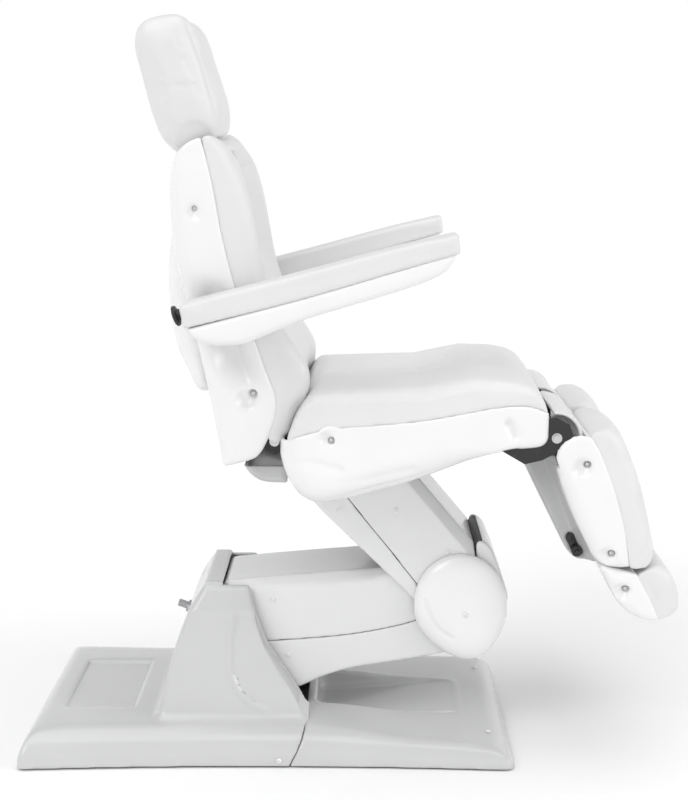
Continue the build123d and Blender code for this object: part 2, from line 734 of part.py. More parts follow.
BULGE_HALF = 180.0
BULGE = [
    (-338.0, 1062.0),
    (-345.0, 1026.0),
    (-349.0, 987.0),
    (-349.0, 948.0),
    (-344.0, 889.0),
    (-332.0, 830.0),
    (-316.5, 794.0),
    (-290.0, 745.0),
]
BULGE_INNER = [
    (-266.5, 745.0),
    (-270.0, 765.0),
    (-287.0, 852.0),
    (-305.0, 938.0),
    (-317.0, 986.0),
    (-329.0, 1052.0),
]
BULGE_CAVITY = [
    (-332.0, 1056.0),
    (-341.0, 1026.0),
    (-345.0, 987.0),
    (-345.0, 948.0),
    (-340.0, 890.0),
    (-328.0, 832.0),
    (-313.0, 797.0),
    (-290.0, 753.0),
    (-230.0, 753.0),
    (-290.0, 1052.0),
]
with BuildPart() as back_motor_cover:
    add(slab(BULGE + BULGE_INNER, (-BULGE_HALF, BULGE_HALF)))
    add(slab(BULGE_CAVITY, (WALL - BULGE_HALF, BULGE_HALF - WALL)), mode=Mode.SUBTRACT)
save(back_motor_cover.part, "back_motor_cover")

CUSHION_BACK_HALF = 240.0
BACK_CUSHION_FRONT = [  # bottom to top
    (-126.0, 683.0),
    (-114.0, 694.0),
    (-92.0, 737.0),
    (-78.0, 770.0),
    (-66.0, 815.0),
    (-64.0, 848.0),
    (-80.0, 897.0),
    (-124.0, 936.0),
    (-158.5, 973.0),
    (-171.5, 1040.0),
    (-180.5, 1097.0),
    (-189.5, 1144.0),
    (-207.5, 1200.0),
    (-227.0, 1234.0),
    (-245.0, 1240.0),
    (-262.0, 1236.0),
]
back_cushion_rear = [(x + 3.0, z) for x, z in reversed(BACK_FRONT[1:-1])]
with BuildPart() as back_cushion:
    add(slab(BACK_CUSHION_FRONT + back_cushion_rear, (-CUSHION_BACK_HALF, CUSHION_BACK_HALF)))
save(back_cushion.part, "back_cushion")

BACK_RAIL_TOP = (-285.0, 1150.0)
BACK_RAIL_Y = (180.0, 186.0)
back_run = (BACK_RAIL_TOP[0] - RECLINE_PIVOT[0], BACK_RAIL_TOP[1] - RECLINE_PIVOT[1])
back_rail = link(
    [(*RECLINE_PIVOT, 22.0), (*BACK_RAIL_TOP, 21.0)],
    BACK_RAIL_Y,
    [(*RECLINE_PIVOT, PIVOT_PIN_R + RUNNING)],
)
back_pieces = both(back_rail)
for share in (0.3, 0.72):
    spot = (RECLINE_PIVOT[0] + share * back_run[0], RECLINE_PIVOT[1] + share * back_run[1])
    back_pieces.append(rod(spot, 9.0, (-BACK_RAIL_Y[0], BACK_RAIL_Y[0])))
back_pieces.append(rod((-299.0, 1145.0), 6.5, (-BACK_RAIL_Y[0], BACK_RAIL_Y[0])))
back_pieces += both(rod(ARMREST_PIVOT, PIVOT_PIN_R, (BACK_RAIL_Y[1], 300.0)))
HEAD_FOOT = (-322.0, 1290.0)  # a point on the headrest posts' line, inside the headrest
HEAD_POST_Y = 50.0
HEAD_GUIDE = (-205.0, -110.0)
for y in (-HEAD_POST_Y, HEAD_POST_Y):
    guide = inclined_bar(HEAD_FOOT, HEAD_SLOPE, y, HEAD_GUIDE, 10.0, POST_R + RUNNING)
    back_pieces.append(guide)
save(group(back_pieces), "back_frame")

BACK_SCREW_SPOTS = [(-285.5, 1110.0), (-178.5, 752.0)]
save(group(screws(BACK_SCREW_SPOTS, BACK_HALF, BACK_HALF + 1.5)), "back_screws")
RECLINE_MOTOR, RECLINE_MOTOR_R = (-318.0, 900.0), 15.0
with BuildPart() as recline_motor:
    add(rod(RECLINE_MOTOR, RECLINE_MOTOR_R, (-90.0, 90.0)))
    for gearbox in both(block((-334.0, -304.0), (90.0, 125.0), (885.0, 915.0))):
        add(gearbox)
save(recline_motor.part, "recline_motor")

# ---------------------------------------------------------------- headrest
HEAD_OUTLINE = [
    (-323.5, 1214.0),
    (-273.5, 1243.5),
    (-231.0, 1247.5),
    (-226.5, 1265.0),
    (-232.5, 1304.0),
    (-243.5, 1336.0),
    (-261.5, 1389.0),
    (-280.5, 1432.0),
    (-297.5, 1464.0),
    (-314.5, 1477.0),
    (-356.5, 1473.0),
    (-395.5, 1460.0),
    (-405.5, 1436.0),
    (-391.5, 1370.0),
    (-379.5, 1317.0),
    (-364.5, 1271.0),
    (-346.5, 1233.0),
]
head_posts = []
for y in (-HEAD_POST_Y, HEAD_POST_Y):
    head_posts.append(inclined_bar(HEAD_FOOT, HEAD_SLOPE, y, (-240.0, 60.0), POST_R))
save(group(head_posts), "headrest_posts")
with BuildPart() as headrest_cushion:
    add(slab(HEAD_OUTLINE, (-HEAD_HALF, HEAD_HALF)))
    for y in (-HEAD_POST_Y, HEAD_POST_Y):
        add(inclined_bar(HEAD_FOOT, HEAD_SLOPE, y, (-240.0, 62.0), POST_R + 0.3), mode=Mode.SUBTRACT)
save(headrest_cushion.part, "headrest_cushion")

# ---------------------------------------------------------------- armrests
ARMREST_SHELL = [
    (-293.5, 892.0),
    (-267.5, 867.0),
    (-240.5, 859.0),
    (-184.5, 863.0),
    (-165.5, 869.0),
    (-82.5, 906.0),
    (10.5, 934.0),
    (102.5, 962.0),
    (157.5, 982.0),
    (190.5, 1000.0),
    (211.0, 1034.0),
    (101.5, 1002.0),
    (-82.5, 948.0),
]
ARMREST_PAD = [
    (-292.0, 896.0),
    (-82.5, 950.0),
    (101.5, 1004.0),
    (213.0, 1037.0),
    (213.5, 1062.0),
    (203.0, 1070.0),
    (101.5, 1047.0),
    (-81.5, 991.0),
    (-266.5, 941.0),
    (-303.0, 932.0),
]
ARMREST_CAP = [(-293.5, 895.5), (-304.5, 932.0), (-316.0, 932.0), (-326.0, 905.0), (-318.0, 891.0)]
for name, side in SIDES.items():
    with BuildPart() as armrest_shell:
        add(slab(ARMREST_SHELL, beside(side, ARMREST_IN, ARMREST_OUT)))
        add(
            slab(ARMREST_SHELL, beside(side, ARMREST_IN + WALL, ARMREST_OUT - WALL), inset=WALL),
            mode=Mode.SUBTRACT,
        )
        add(rod(ARMREST_PIVOT, 18.0, beside(side, ARMREST_IN, 302.0)))
        add(rod(ARMREST_PIVOT, PIVOT_PIN_R + RUNNING, beside(side, 200.0, 302.0)), mode=Mode.SUBTRACT)
    save(armrest_shell.part, f"armrest_shell_{name}")
    with BuildPart() as armrest_pad:
        add(slab(ARMREST_PAD, beside(side, ARMREST_IN, ARMREST_OUT)))
    save(armrest_pad.part, f"armrest_pad_{name}")
    with BuildPart() as armrest_cap:
        add(slab(ARMREST_CAP, beside(side, ARMREST_IN + 12, ARMREST_OUT - 12)))
    save(armrest_cap.part, f"armrest_end_cap_{name}")

# ---------------------------------------------------------------- leg rests, in (along, out) of the leg
LEG_SHELL = [
    (29.0, -13.0),
    (16.0, 0.0),
    (9.0, 19.0),
    (10.0, 42.0),
    (20.0, 60.0),
    (51.0, 67.0),
    (104.0, 68.0),
    (156.0, 66.0),
    (218.0, 59.0),
    (292.0, 44.0),
    (287.0, 22.0),
    (260.0, -13.0),
    (230.0, -18.0),
    (163.0, -24.0),
    (78.0, -23.0),
]
LEG_CUSHION = [
    (22.0, 62.5),
    (51.0, 69.0),
    (104.0, 70.0),
    (156.0, 68.0),
    (218.0, 61.0),
    (297.0, 45.5),
    (302.0, 81.0),
    (288.0, 96.0),
    (239.0, 108.0),
    (168.0, 119.5),
    (106.0, 122.0),
    (34.0, 117.0),
    (11.0, 100.5),
    (11.0, 84.0),
]
LEG_BOX = [
    (37.0, -25.5),
    (36.0, -73.0),
    (237.0, -59.0),
    (256.0, -53.5),
    (270.0, -42.0),
    (264.0, -16.0),
    (230.0, -20.5),
    (163.0, -26.5),
    (78.0, -25.5),
]
FOOT_SHELL = [
    (267.0, -14.0),
    (311.0, 51.0),
    (371.0, 57.0),
    (409.0, 59.0),
    (408.5, 47.0),
    (398.0, 26.0),
    (378.0, 8.0),
    (352.0, -3.0),
]
FOOT_CUSHION = [
    (315.0, 53.0),
    (306.0, 82.0),
    (316.0, 103.5),
    (342.0, 115.0),
    (395.0, 110.0),
    (411.0, 104.0),
    (419.0, 87.0),
    (413.0, 61.0),
    (371.0, 59.0),
]
KNEE_SPAN = (62.0, 165.0)  # degrees from the leg's own length
KNEE_Y = (28.0, 266.0)
EAR_Y = (40.0, 250.0)
RAIL_OUT = 24.0
FOOT_RAIL_Y = (110.0, 190.0)
FOOT_RAIL_SPAN = (140.0, 350.0)
GUIDE_SPAN = (205.0, 246.0)
LEG_TIES = ((92.0, 2.0), (226.0, 2.0))
KNOB_AT = (244.0, -40.0)
KNOB_Y = (LEG_BOX_Y[1], LEG_BOX_Y[1] + 14.0)
LEG_SCREW_SPOTS = [(93.0, 43.0), (229.0, 10.0)]


def leg_bar(u, v, y, length, radius, bore=0.0):
    """A bar or tube along the leg, at v out from the pivot."""
    return inclined_bar(along_leg(0, v), LEG_SLOPE, y, (u, u + length), radius, bore)


for name, side in SIDES.items():
    with BuildPart() as leg_frame:
        for y in EAR_Y:
            add(
                link(
                    [(0, 0, 15.0), (240.0, 5.0, 11.0)],
                    beside(side, y, y + PLATE),
                    [(0, 0, PIVOT_PIN_R + RUNNING)],
                    LEG_PIVOT,
                    LEG_SLOPE,
                )
            )
        for spot in LEG_TIES:
            add(rod(along_leg(*spot), 10.0, beside(side, EAR_Y[0], EAR_Y[1] + PLATE)))
        for y in FOOT_RAIL_Y:
            add(leg_bar(GUIDE_SPAN[0], RAIL_OUT, side * y, GUIDE_SPAN[1] - GUIDE_SPAN[0], 13.0))
        for y in FOOT_RAIL_Y:
            add(leg_bar(100.0, RAIL_OUT, side * y, 300.0, RAIL_R + RUNNING), mode=Mode.SUBTRACT)
    save(leg_frame.part, f"leg_frame_{name}")

    with BuildPart() as leg_shell:
        add(leg_slab(LEG_SHELL, beside(side, LEG_IN, LEG_OUT)))
        add(
            leg_slab(LEG_SHELL, beside(side, LEG_IN + SHELL_THICK, LEG_OUT - SHELL_THICK), SHELL_THICK),
            mode=Mode.SUBTRACT,
        )
        # open at the knee, between the side panels
        add(
            rod(LEG_PIVOT, 57.0, beside(side, LEG_IN + SHELL_THICK, LEG_OUT - SHELL_THICK)),
            mode=Mode.SUBTRACT,
        )
        for y in FOOT_RAIL_Y:
            add(leg_bar(250.0, RAIL_OUT, side * y, 80.0, RAIL_R + FREE), mode=Mode.SUBTRACT)
    save(leg_shell.part, f"leg_shell_{name}")

    with BuildPart() as leg_box:
        add(leg_slab(LEG_BOX, beside(side, *LEG_BOX_Y)))
        add(leg_slab(LEG_BOX, beside(side, LEG_BOX_Y[0] + 3, LEG_BOX_Y[1] - 3), 3.0), mode=Mode.SUBTRACT)
    save(leg_box.part, f"leg_box_{name}")

    with BuildPart() as leg_cushion:
        add(leg_slab(LEG_CUSHION, beside(side, LEG_IN, LEG_OUT - 4)))
    save(leg_cushion.part, f"leg_cushion_{name}")

    with BuildPart() as knee_cover:
        with BuildSketch(side_plane(max(beside(side, *KNEE_Y)), LEG_PIVOT, LEG_SLOPE)):
            with BuildLine():
                outer = CenterArc((0, 0), KNEE_OUTER_R, KNEE_SPAN[0], KNEE_SPAN[1] - KNEE_SPAN[0])
                inner = CenterArc((0, 0), KNEE_INNER_R, KNEE_SPAN[0], KNEE_SPAN[1] - KNEE_SPAN[0])
                Line(outer @ 0, inner @ 0)
                Line(outer @ 1, inner @ 1)
            make_face()
        extrude(amount=KNEE_Y[1] - KNEE_Y[0])
    save(knee_cover.part, f"knee_cover_{name}")

    with BuildPart() as foot_rails:
        for y in FOOT_RAIL_Y:
            add(leg_bar(FOOT_RAIL_SPAN[0], RAIL_OUT, side * y, FOOT_RAIL_SPAN[1] - FOOT_RAIL_SPAN[0], RAIL_R))
    save(group([foot_rails.part]), f"foot_rails_{name}")

    with BuildPart() as foot_shell:
        add(leg_slab(FOOT_SHELL, beside(side, LEG_IN, LEG_OUT - 4)))
        add(
            leg_slab(FOOT_SHELL, beside(side, LEG_IN + SHELL_THICK, LEG_OUT - 4 - SHELL_THICK), SHELL_THICK),
            mode=Mode.SUBTRACT,
        )
        for y in FOOT_RAIL_Y:
            add(leg_bar(240.0, RAIL_OUT, side * y, 111.0, RAIL_R + 0.3), mode=Mode.SUBTRACT)
    save(foot_shell.part, f"foot_shell_{name}")

    with BuildPart() as foot_cushion:
        add(leg_slab(FOOT_CUSHION, beside(side, LEG_IN, LEG_OUT - 8)))
    save(foot_cushion.part, f"foot_cushion_{name}")

    with BuildPart() as rail_lock_knob:
        add(rod(along_leg(*KNOB_AT), 11.0, beside(side, KNOB_Y[0] + 0.5, KNOB_Y[1])))
        grip = rod(along_leg(*KNOB_AT), 4.0, beside(side, KNOB_Y[0] + 0.5, KNOB_Y[1] + 6))
        add(grip)
    save(rail_lock_knob.part, f"rail_lock_knob_{name}")
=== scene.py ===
"""The looks of an electric treatment chair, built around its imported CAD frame.

Shapes are worked out in millimetres, in the frame's own axes: +X the way the sitter faces, +Z up.
Outlines are (x, z) pairs; a leg rest's and the upper arm's are (along, out) pairs of that limb.
"""

import json
import math

import bpy
import numpy as np
from mathutils import Matrix, Vector


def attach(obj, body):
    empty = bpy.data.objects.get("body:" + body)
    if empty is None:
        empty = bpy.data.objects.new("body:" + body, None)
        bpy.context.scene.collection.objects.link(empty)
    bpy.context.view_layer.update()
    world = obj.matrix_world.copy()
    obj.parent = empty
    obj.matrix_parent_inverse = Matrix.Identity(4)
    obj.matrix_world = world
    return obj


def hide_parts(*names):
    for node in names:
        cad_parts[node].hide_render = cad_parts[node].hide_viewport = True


MM = 0.001
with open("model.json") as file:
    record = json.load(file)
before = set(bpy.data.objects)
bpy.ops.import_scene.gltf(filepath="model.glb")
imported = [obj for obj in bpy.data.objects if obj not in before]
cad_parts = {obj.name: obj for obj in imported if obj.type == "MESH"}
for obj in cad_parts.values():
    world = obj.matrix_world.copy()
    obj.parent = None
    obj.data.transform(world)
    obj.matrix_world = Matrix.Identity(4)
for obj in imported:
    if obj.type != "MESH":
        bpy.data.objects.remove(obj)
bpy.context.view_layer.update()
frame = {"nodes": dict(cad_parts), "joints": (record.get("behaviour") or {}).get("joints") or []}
JOINTS = {joint["name"]: joint for joint in frame["joints"]}


def pivot(joint):
    """A hinge's place in the side view, in millimetres."""
    x, _, z = JOINTS[joint]["pos_m"]
    return x / MM, z / MM


ELBOW = pivot("elbow")
SEAT_PIVOT = pivot("seat_level")
RECLINE_PIVOT = pivot("recline")
KNEE = pivot("leg_right")
slide = JOINTS["foot_right"]["axis"]
LEG_SLOPE = math.atan2(slide[2], slide[0])
ARM_SLOPE = math.atan2(SEAT_PIVOT[1] - ELBOW[1], SEAT_PIVOT[0] - ELBOW[0])


# ---------------------------------------------------------------- distance fields
def spline(points, fine=6):
    """A closed line smoothly through the points. A point with a third entry is a sharp corner."""
    count = len(points)
    flat = [np.array(point[:2], float) for point in points]
    sharp = [len(point) > 2 for point in points]
    line = []
    for i in range(count):
        a, b = flat[i], flat[(i + 1) % count]
        before = a if sharp[i] else flat[i - 1]
        after = b if sharp[(i + 1) % count] else flat[(i + 2) % count]
        span = math.sqrt(np.linalg.norm(b - a))
        lead = math.sqrt(np.linalg.norm(a - before)) or span
        trail = math.sqrt(np.linalg.norm(after - b)) or span
        leave = (a - before) / lead - (b - before) / (lead + span) + (b - a) / span
        arrive = (b - a) / span - (after - a) / (span + trail) + (after - b) / trail
        if sharp[i]:
            leave = (b - a) / span
        if sharp[(i + 1) % count]:
            arrive = (b - a) / span
        for k in range(fine):
            t = k / fine
            line.append(
                a * (2 * t**3 - 3 * t**2 + 1)
                + b * (3 * t**2 - 2 * t**3)
                + leave * span * (t**3 - 2 * t**2 + t)
                + arrive * span * (t**3 - t**2)
            )
    return [tuple(point) for point in line]


def line_distance(points, u, v):
    """Distance from (u, v) to a closed line, negative inside it. u and v broadcast together."""
    near = np.full(np.broadcast(u, v).shape, 1e12)
    inside = np.zeros(near.shape, bool)
    for (a, b), (c, d) in zip(points, points[1:] + points[:1]):
        run, rise = c - a, d - b
        length = run * run + rise * rise
        if length < 1e-9:
            continue
        t = np.clip(((u - a) * run + (v - b) * rise) / length, 0, 1)
        near = np.minimum(near, (u - a - t * run) ** 2 + (v - b - t * rise) ** 2)
        if abs(rise) > 1e-9:
            inside ^= ((b > v) != (d > v)) & (u < run * (v - b) / rise + a)
    return np.sqrt(near) * np.where(inside, -1, 1)


def both(a, b, r=0.0):
    """Where two solids overlap, with the edge between them rounded to radius r."""
    edge = np.sqrt(np.maximum(a + r, 0) ** 2 + np.maximum(b + r, 0) ** 2)
    return np.minimum(np.maximum(a, b), -r) + edge if np.any(r) else np.maximum(a, b)


def joined(a, b, r=0.0):
    """Two solids together, with the corner between them filled to radius r."""
    return -both(-a, -b, r)


def without(a, b, r=0.0):
    return both(a, -b, r)


def smooth(low, high, value):
    """Rises from 0 at low to 1 at high."""
    t = np.clip((value - low) / (high - low), 0, 1)
    return t * t * (3 - 2 * t)


class Space:
    """A grid, in millimetres, on which a piece's distance field is worked out."""

    def __init__(self, x, y, z, step):
        self.step = step
        self.low = [span[0] - 3 * step for span in (x, y, z)]
        lines = [np.arange(low, span[1] + 3 * step, step) for low, span in zip(self.low, (x, y, z))]
        self.x = lines[0][:, None, None]
        self.y = lines[1][None, :, None]
        self.z = lines[2][None, None, :]

    def side(self, points, fine=6):
        """Distance from an (x, z) outline that runs right across."""
        return line_distance(spline(points, fine), self.x, self.z)

    def front(self, points):
        """Distance from a (y, z) outline that runs from front to rear."""
        return line_distance(spline(points), self.y, self.z)

    def box(self, x, y, z, r=0.0):
        sides = []
        for line, span in ((self.x, x), (self.y, y), (self.z, z)):
            sides.append(np.maximum(span[0] - line, line - span[1]))
        return both(both(sides[0], sides[1], r), sides[2], r)

    def rod(self, centre, radius):
        """A round bar right across, at (x, z)."""
        return np.hypot(self.x - centre[0], self.z - centre[1]) - radius

    def bar(self, start, end, radius):
        """A round-ended bar between two points."""
        start, end = np.array(start, float), np.array(end, float)
        run = end - start
        place = (self.x - start[0], self.y - start[1], self.z - start[2])
        t = np.clip(sum(p * r for p, r in zip(place, run)) / max(run @ run, 1e-9), 0, 1)
        return np.sqrt(sum((p - t * r) ** 2 for p, r in zip(place, run))) - radius


CORNERS = [(i, j, k) for i in (0, 1) for j in (0, 1) for k in (0, 1)]
EDGES = [(a, b) for a in CORNERS for b in CORNERS if a < b and sum(abs(p - q) for p, q in zip(a, b)) == 1]


def surface(space, field):
    """Vertices and quads where the field is zero: one vertex in each cell that the surface crosses."""
    shape = np.broadcast(field, space.x, space.y, space.z).shape
    field = np.ascontiguousarray(np.broadcast_to(field, shape))
    inside = field < 0
    count = np.zeros([n - 1 for n in shape], np.int8)
    for i, j, k in CORNERS:
        count += inside[i : shape[0] - 1 + i, j : shape[1] - 1 + j, k : shape[2] - 1 + k]
    active = (count > 0) & (count < 8)
    cells = np.argwhere(active)
    number = np.full(active.shape, -1)
    number[active] = np.arange(len(cells))
    total, crossings = np.zeros((len(cells), 3)), np.zeros(len(cells))
    for a, b in EDGES:
        start, end = cells + a, cells + b
        fa = field[start[:, 0], start[:, 1], start[:, 2]]
        fb = field[end[:, 0], end[:, 1], end[:, 2]]
        crossed = (fa < 0) != (fb < 0)
        t = np.where(crossed, fa / np.where(crossed, fa - fb, 1), 0)[:, None]
        total += np.where(crossed[:, None], start + t * (end - start), 0)
        crossings += crossed
    verts = (total / crossings[:, None]) * space.step + space.low
    quads = []
    for axis in range(3):
        u, v = [(1, 2), (2, 0), (0, 1)][axis]
        here = [slice(1, n - 1) for n in shape]
        ahead = list(here)
        here[axis], ahead[axis] = slice(0, shape[axis] - 1), slice(1, shape[axis])
        first, second = inside[tuple(here)], inside[tuple(ahead)]
        for leaving in (True, False):
            spots = np.argwhere(first & ~second if leaving else ~first & second)
            for other in (u, v):
                spots[:, other] += 1
            ring = []
            for du, dv in ((-1, -1), (0, -1), (0, 0), (-1, 0)):
                cell = spots.copy()
                cell[:, u] += du
                cell[:, v] += dv
                ring.append(number[cell[:, 0], cell[:, 1], cell[:, 2]])
            quad = np.stack(ring, 1)
            quads.append(quad if leaving else quad[:, ::-1])
    return verts, np.concatenate(quads)


def limb(origin, slope):
    """From a limb's (along, y, out) coordinates to the frame's."""
    c, s = math.cos(slope), math.sin(slope)
    return Matrix(((c, 0, -s, origin[0]), (0, 1, 0, 0), (s, 0, c, origin[1]), (0, 0, 0, 1)))


LEG = limb(KNEE, LEG_SLOPE)
ARM = limb(ELBOW, ARM_SLOPE)


def new_mesh(name, verts, faces, place):
    """A smooth-shaded object from millimetre vertices."""
    verts = np.asarray(verts, float)
    if place is not None:
        turn = np.array(place)
        verts = verts @ turn[:3, :3].T + turn[:3, 3]
    mesh = bpy.data.meshes.new(name)
    mesh.from_pydata((verts * MM).tolist(), [], np.asarray(faces).tolist())
    mesh.validate()
    mesh.polygons.foreach_set("use_smooth", [True] * len(mesh.polygons))
    piece = bpy.data.objects.new(name, mesh)
    bpy.context.scene.collection.objects.link(piece)
    return piece


def carved(name, space, field, place=None):
    return new_mesh(name, *surface(space, field), place)


def coordinates(mesh):
    values = np.zeros(len(mesh.vertices) * 3)
    mesh.vertices.foreach_get("co", values)
    return values.reshape(-1, 3)


def normals(mesh):
    values = np.zeros(len(mesh.vertices) * 3, np.float32)
    mesh.vertices.foreach_get("normal", values)
    return values.reshape(-1, 3).astype(float)


def set_coordinates(mesh, values):
    mesh.vertices.foreach_set("co", values.ravel())
    mesh.update()


def mirrored(piece, name):
    """The same piece for the sitter's other side."""
    twin = piece.copy()
    twin.data = piece.data.copy()
    twin.name = twin.data.name = name
    bpy.context.scene.collection.objects.link(twin)
    twin.data.transform(Matrix.Scale(-1, 4, (0, 1, 0)))
    twin.data.flip_normals()
    return twin


SIM_FRAMES = 20
PRESSURE = 4.0


def inflate(piece, cap, free):
    """Cloth simulation: the cushion swells, each point by no more than cap millimetres.

    free says how far each point may follow, from 0 where the cover is held to 1.
    """
    scene = bpy.context.scene
    rest = coordinates(piece.data)
    cloth = piece.modifiers.new("Cloth", "CLOTH")
    cloth.settings.use_pressure = True
    cloth.settings.uniform_pressure_force = PRESSURE
    cloth.settings.effector_weights.gravity = 0
    cloth.point_cache.frame_start = 1
    cloth.point_cache.frame_end = SIM_FRAMES
    for number in range(1, SIM_FRAMES + 1):
        scene.frame_set(number)
    graph = bpy.context.evaluated_depsgraph_get()
    swollen = coordinates(piece.evaluated_get(graph).data)
    piece.modifiers.remove(cloth)
    scene.frame_set(1)
    move = swollen - rest
    length = np.linalg.norm(move, axis=1)[:, None]
    share = np.minimum(1, cap * MM / np.maximum(length, 1e-9)) * free(rest / MM)[:, None]
    set_coordinates(piece.data, rest + move * share)


def subdivide(piece):
    """Applied subdivision, so that seams can be pressed into a finer mesh."""
    step = piece.modifiers.new("Subdivision", "SUBSURF")
    step.levels = step.render_levels = 1
    graph = bpy.context.evaluated_depsgraph_get()
    finer = bpy.data.meshes.new_from_object(piece.evaluated_get(graph))
    piece.modifiers.remove(step)
    piece.data = finer
    finer.polygons.foreach_set("use_smooth", [True] * len(finer.polygons))


def press(piece, *strokes):
    """Moves the surface along its normals by the sum of the strokes, in millimetres."""
    place = coordinates(piece.data) / MM
    facing = normals(piece.data)
    depth = sum(stroke(place) for stroke in strokes)
    set_coordinates(piece.data, (place + facing * depth[:, None]) * MM)


def groove(points, width, depth):
    """A stroke that sinks the surface along a line of (x, y, z) points."""
    line = np.array(points, float)

    def stroke(place):
        near = np.full(len(place), 1e9)
        for a, b in zip(line, line[1:]):
            run = b - a
            t = np.clip((place - a) @ run / (run @ run), 0, 1)
            near = np.minimum(near, np.linalg.norm(place - a - t[:, None] * run, axis=1))
        return -depth * np.exp(-((near / width) ** 2))

    return stroke


def open_line(points):
    """A smooth line through the points, from the first to the last."""
    fine = 8
    there = spline([(*points[0], 0), *points[1:-1], (*points[-1], 0)], fine)
    return there[: fine * (len(points) - 1) + 1]


def side_line(points, y):
    """(x, z) points as a smooth open line at one distance from the chair's middle."""
    return [(x, y, z) for x, z in open_line(points)]


# ---------------------------------------------------------------- materials
def material(name, colour, rough, build=None, metal=0.0, coat=0.0):
    """A Principled material whose colour and roughness vary, with a highlight painted lighter along its
    edges; build adds its bump.
    """
    made = bpy.data.materials.new(name)
    made.use_nodes = True
    tree = made.node_tree
    shader = tree.nodes["Principled BSDF"]
    shader.inputs["Metallic"].default_value = metal
    shader.inputs["Coat Weight"].default_value = coat
    shader.inputs["Coat Roughness"].default_value = 0.12
    place = tree.nodes.new("ShaderNodeTexCoord").outputs["Object"]
    link = tree.links.new

    def noise(scale, detail=3.0, rough_detail=0.5, stretch=None):
        node = tree.nodes.new("ShaderNodeTexNoise")
        node.inputs["Scale"].default_value = scale
        node.inputs["Detail"].default_value = detail
        node.inputs["Roughness"].default_value = rough_detail
        source = place
        if stretch:
            mapping = tree.nodes.new("ShaderNodeMapping")
            mapping.inputs["Scale"].default_value = stretch
            link(place, mapping.inputs["Vector"])
            source = mapping.outputs["Vector"]
        link(source, node.inputs["Vector"])
        return node.outputs["Fac"]

    def cells(scale, feature="F1"):
        node = tree.nodes.new("ShaderNodeTexVoronoi")
        node.feature = feature
        node.inputs["Scale"].default_value = scale
        link(place, node.inputs["Vector"])
        return node.outputs["Distance"]

    def ranged(value, low, high, start=0.3, end=0.7):
        node = tree.nodes.new("ShaderNodeMapRange")
        node.inputs["From Min"].default_value = start
        node.inputs["From Max"].default_value = end
        node.inputs["To Min"].default_value = low
        node.inputs["To Max"].default_value = high
        link(value, node.inputs["Value"])
        return node.outputs["Result"]

    def mixed(factor, first, second):
        node = tree.nodes.new("ShaderNodeMix")
        node.data_type = "RGBA"
        link(factor, node.inputs["Factor"])
        for socket, value in ((node.inputs["A"], first), (node.inputs["B"], second)):
            if isinstance(value, tuple):
                socket.default_value = (*value, 1)
            else:
                link(value, socket)
        return node.outputs["Result"]

    def bump(height, distance, strength=1.0, under=None):
        node = tree.nodes.new("ShaderNodeBump")
        node.inputs["Distance"].default_value = distance * MM
        node.inputs["Strength"].default_value = strength
        link(height, node.inputs["Height"])
        if under is not None:
            link(under, node.inputs["Normal"])
        return node.outputs["Normal"]

    def edges(radius=3.0):
        """1 on convex and concave edges, 0 on flat faces."""
        rounded = tree.nodes.new("ShaderNodeBevel")
        rounded.samples = 4
        rounded.inputs["Radius"].default_value = radius * MM
        product = tree.nodes.new("ShaderNodeVectorMath")
        product.operation = "DOT_PRODUCT"
        link(rounded.outputs["Normal"], product.inputs[0])
        link(tree.nodes.new("ShaderNodeNewGeometry").outputs["Normal"], product.inputs[1])
        return ranged(product.outputs["Value"], 1.0, 0.0, 0.30, 0.72)

    tools = {"noise": noise, "cells": cells, "ranged": ranged, "mixed": mixed, "bump": bump, "edges": edges}
    low, high = [tuple(c * share for c in colour) for share in (0.965, 1.0)]
    base = mixed(ranged(noise(7.0, 4.0), 0, 1), low, high)
    tools["colour"], tools["tone"] = base, colour
    tools["rough"] = ranged(noise(9.0, 1.0), rough - 0.004, rough + 0.008, 0.1, 0.9)
    if build:
        build(tools)
    link(tools["colour"], shader.inputs["Base Color"])
    link(tools["rough"], shader.inputs["Roughness"])
    if "normal" in tools:
        link(tools["normal"], shader.inputs["Normal"])
    return made


# How much lighter the painted edge highlight makes a finish's colour.
EDGE_HIGHLIGHT_GAIN = 1.08


def painted_edge_highlight(tools):
    """Edges a little lighter: a highlight painted into the colour along convex and concave edges."""
    light = tuple(min(0.95, c * EDGE_HIGHLIGHT_GAIN) for c in tools["tone"])
    tools["colour"] = tools["mixed"](tools["edges"](), tools["colour"], light)


def vinyl_finish(tools):
    """Fine leather grain over a slow unevenness of the padding."""
    slow = tools["bump"](tools["noise"](9.0, 2.0), 2.2, 0.55)
    grain = tools["bump"](tools["cells"](820.0), 0.16, 0.55, slow)
    tools["normal"] = tools["bump"](tools["noise"](1500.0, 2.0), 0.05, 0.5, grain)
    painted_edge_highlight(tools)


def moulded_finish(tools):
    """The faint orange peel of glossy moulded plastic."""
    peel = tools["bump"](tools["noise"](260.0, 2.0), 0.03, 0.30)
    tools["normal"] = tools["bump"](tools["noise"](5.0, 1.0), 0.6, 0.10, peel)
    painted_edge_highlight(tools)


def textured_finish(tools):
    """Spark-eroded plastic with a fine even texture."""
    tools["normal"] = tools["bump"](tools["noise"](900.0, 3.0), 0.12, 0.5)
    painted_edge_highlight(tools)


def black_finish(tools):
    """Powder coat, with faintly rubbed patches."""
    tools["normal"] = tools["bump"](tools["noise"](650.0, 3.0), 0.1, 0.4)
    rubbed = tools["ranged"](tools["noise"](45.0, 6.0, 0.7), 0, 1, 0.62, 0.75)
    tools["colour"] = tools["mixed"](rubbed, tools["colour"], (0.045, 0.045, 0.045))


def brushed_finish(tools):
    """Turned or drawn steel with fine lines across it."""
    lines = tools["noise"](60.0, 6.0, 0.7, (4.0, 60.0, 4.0))
    tools["normal"] = tools["bump"](lines, 0.03, 0.4)
    tools["rough"] = tools["ranged"](lines, 0.16, 0.36)


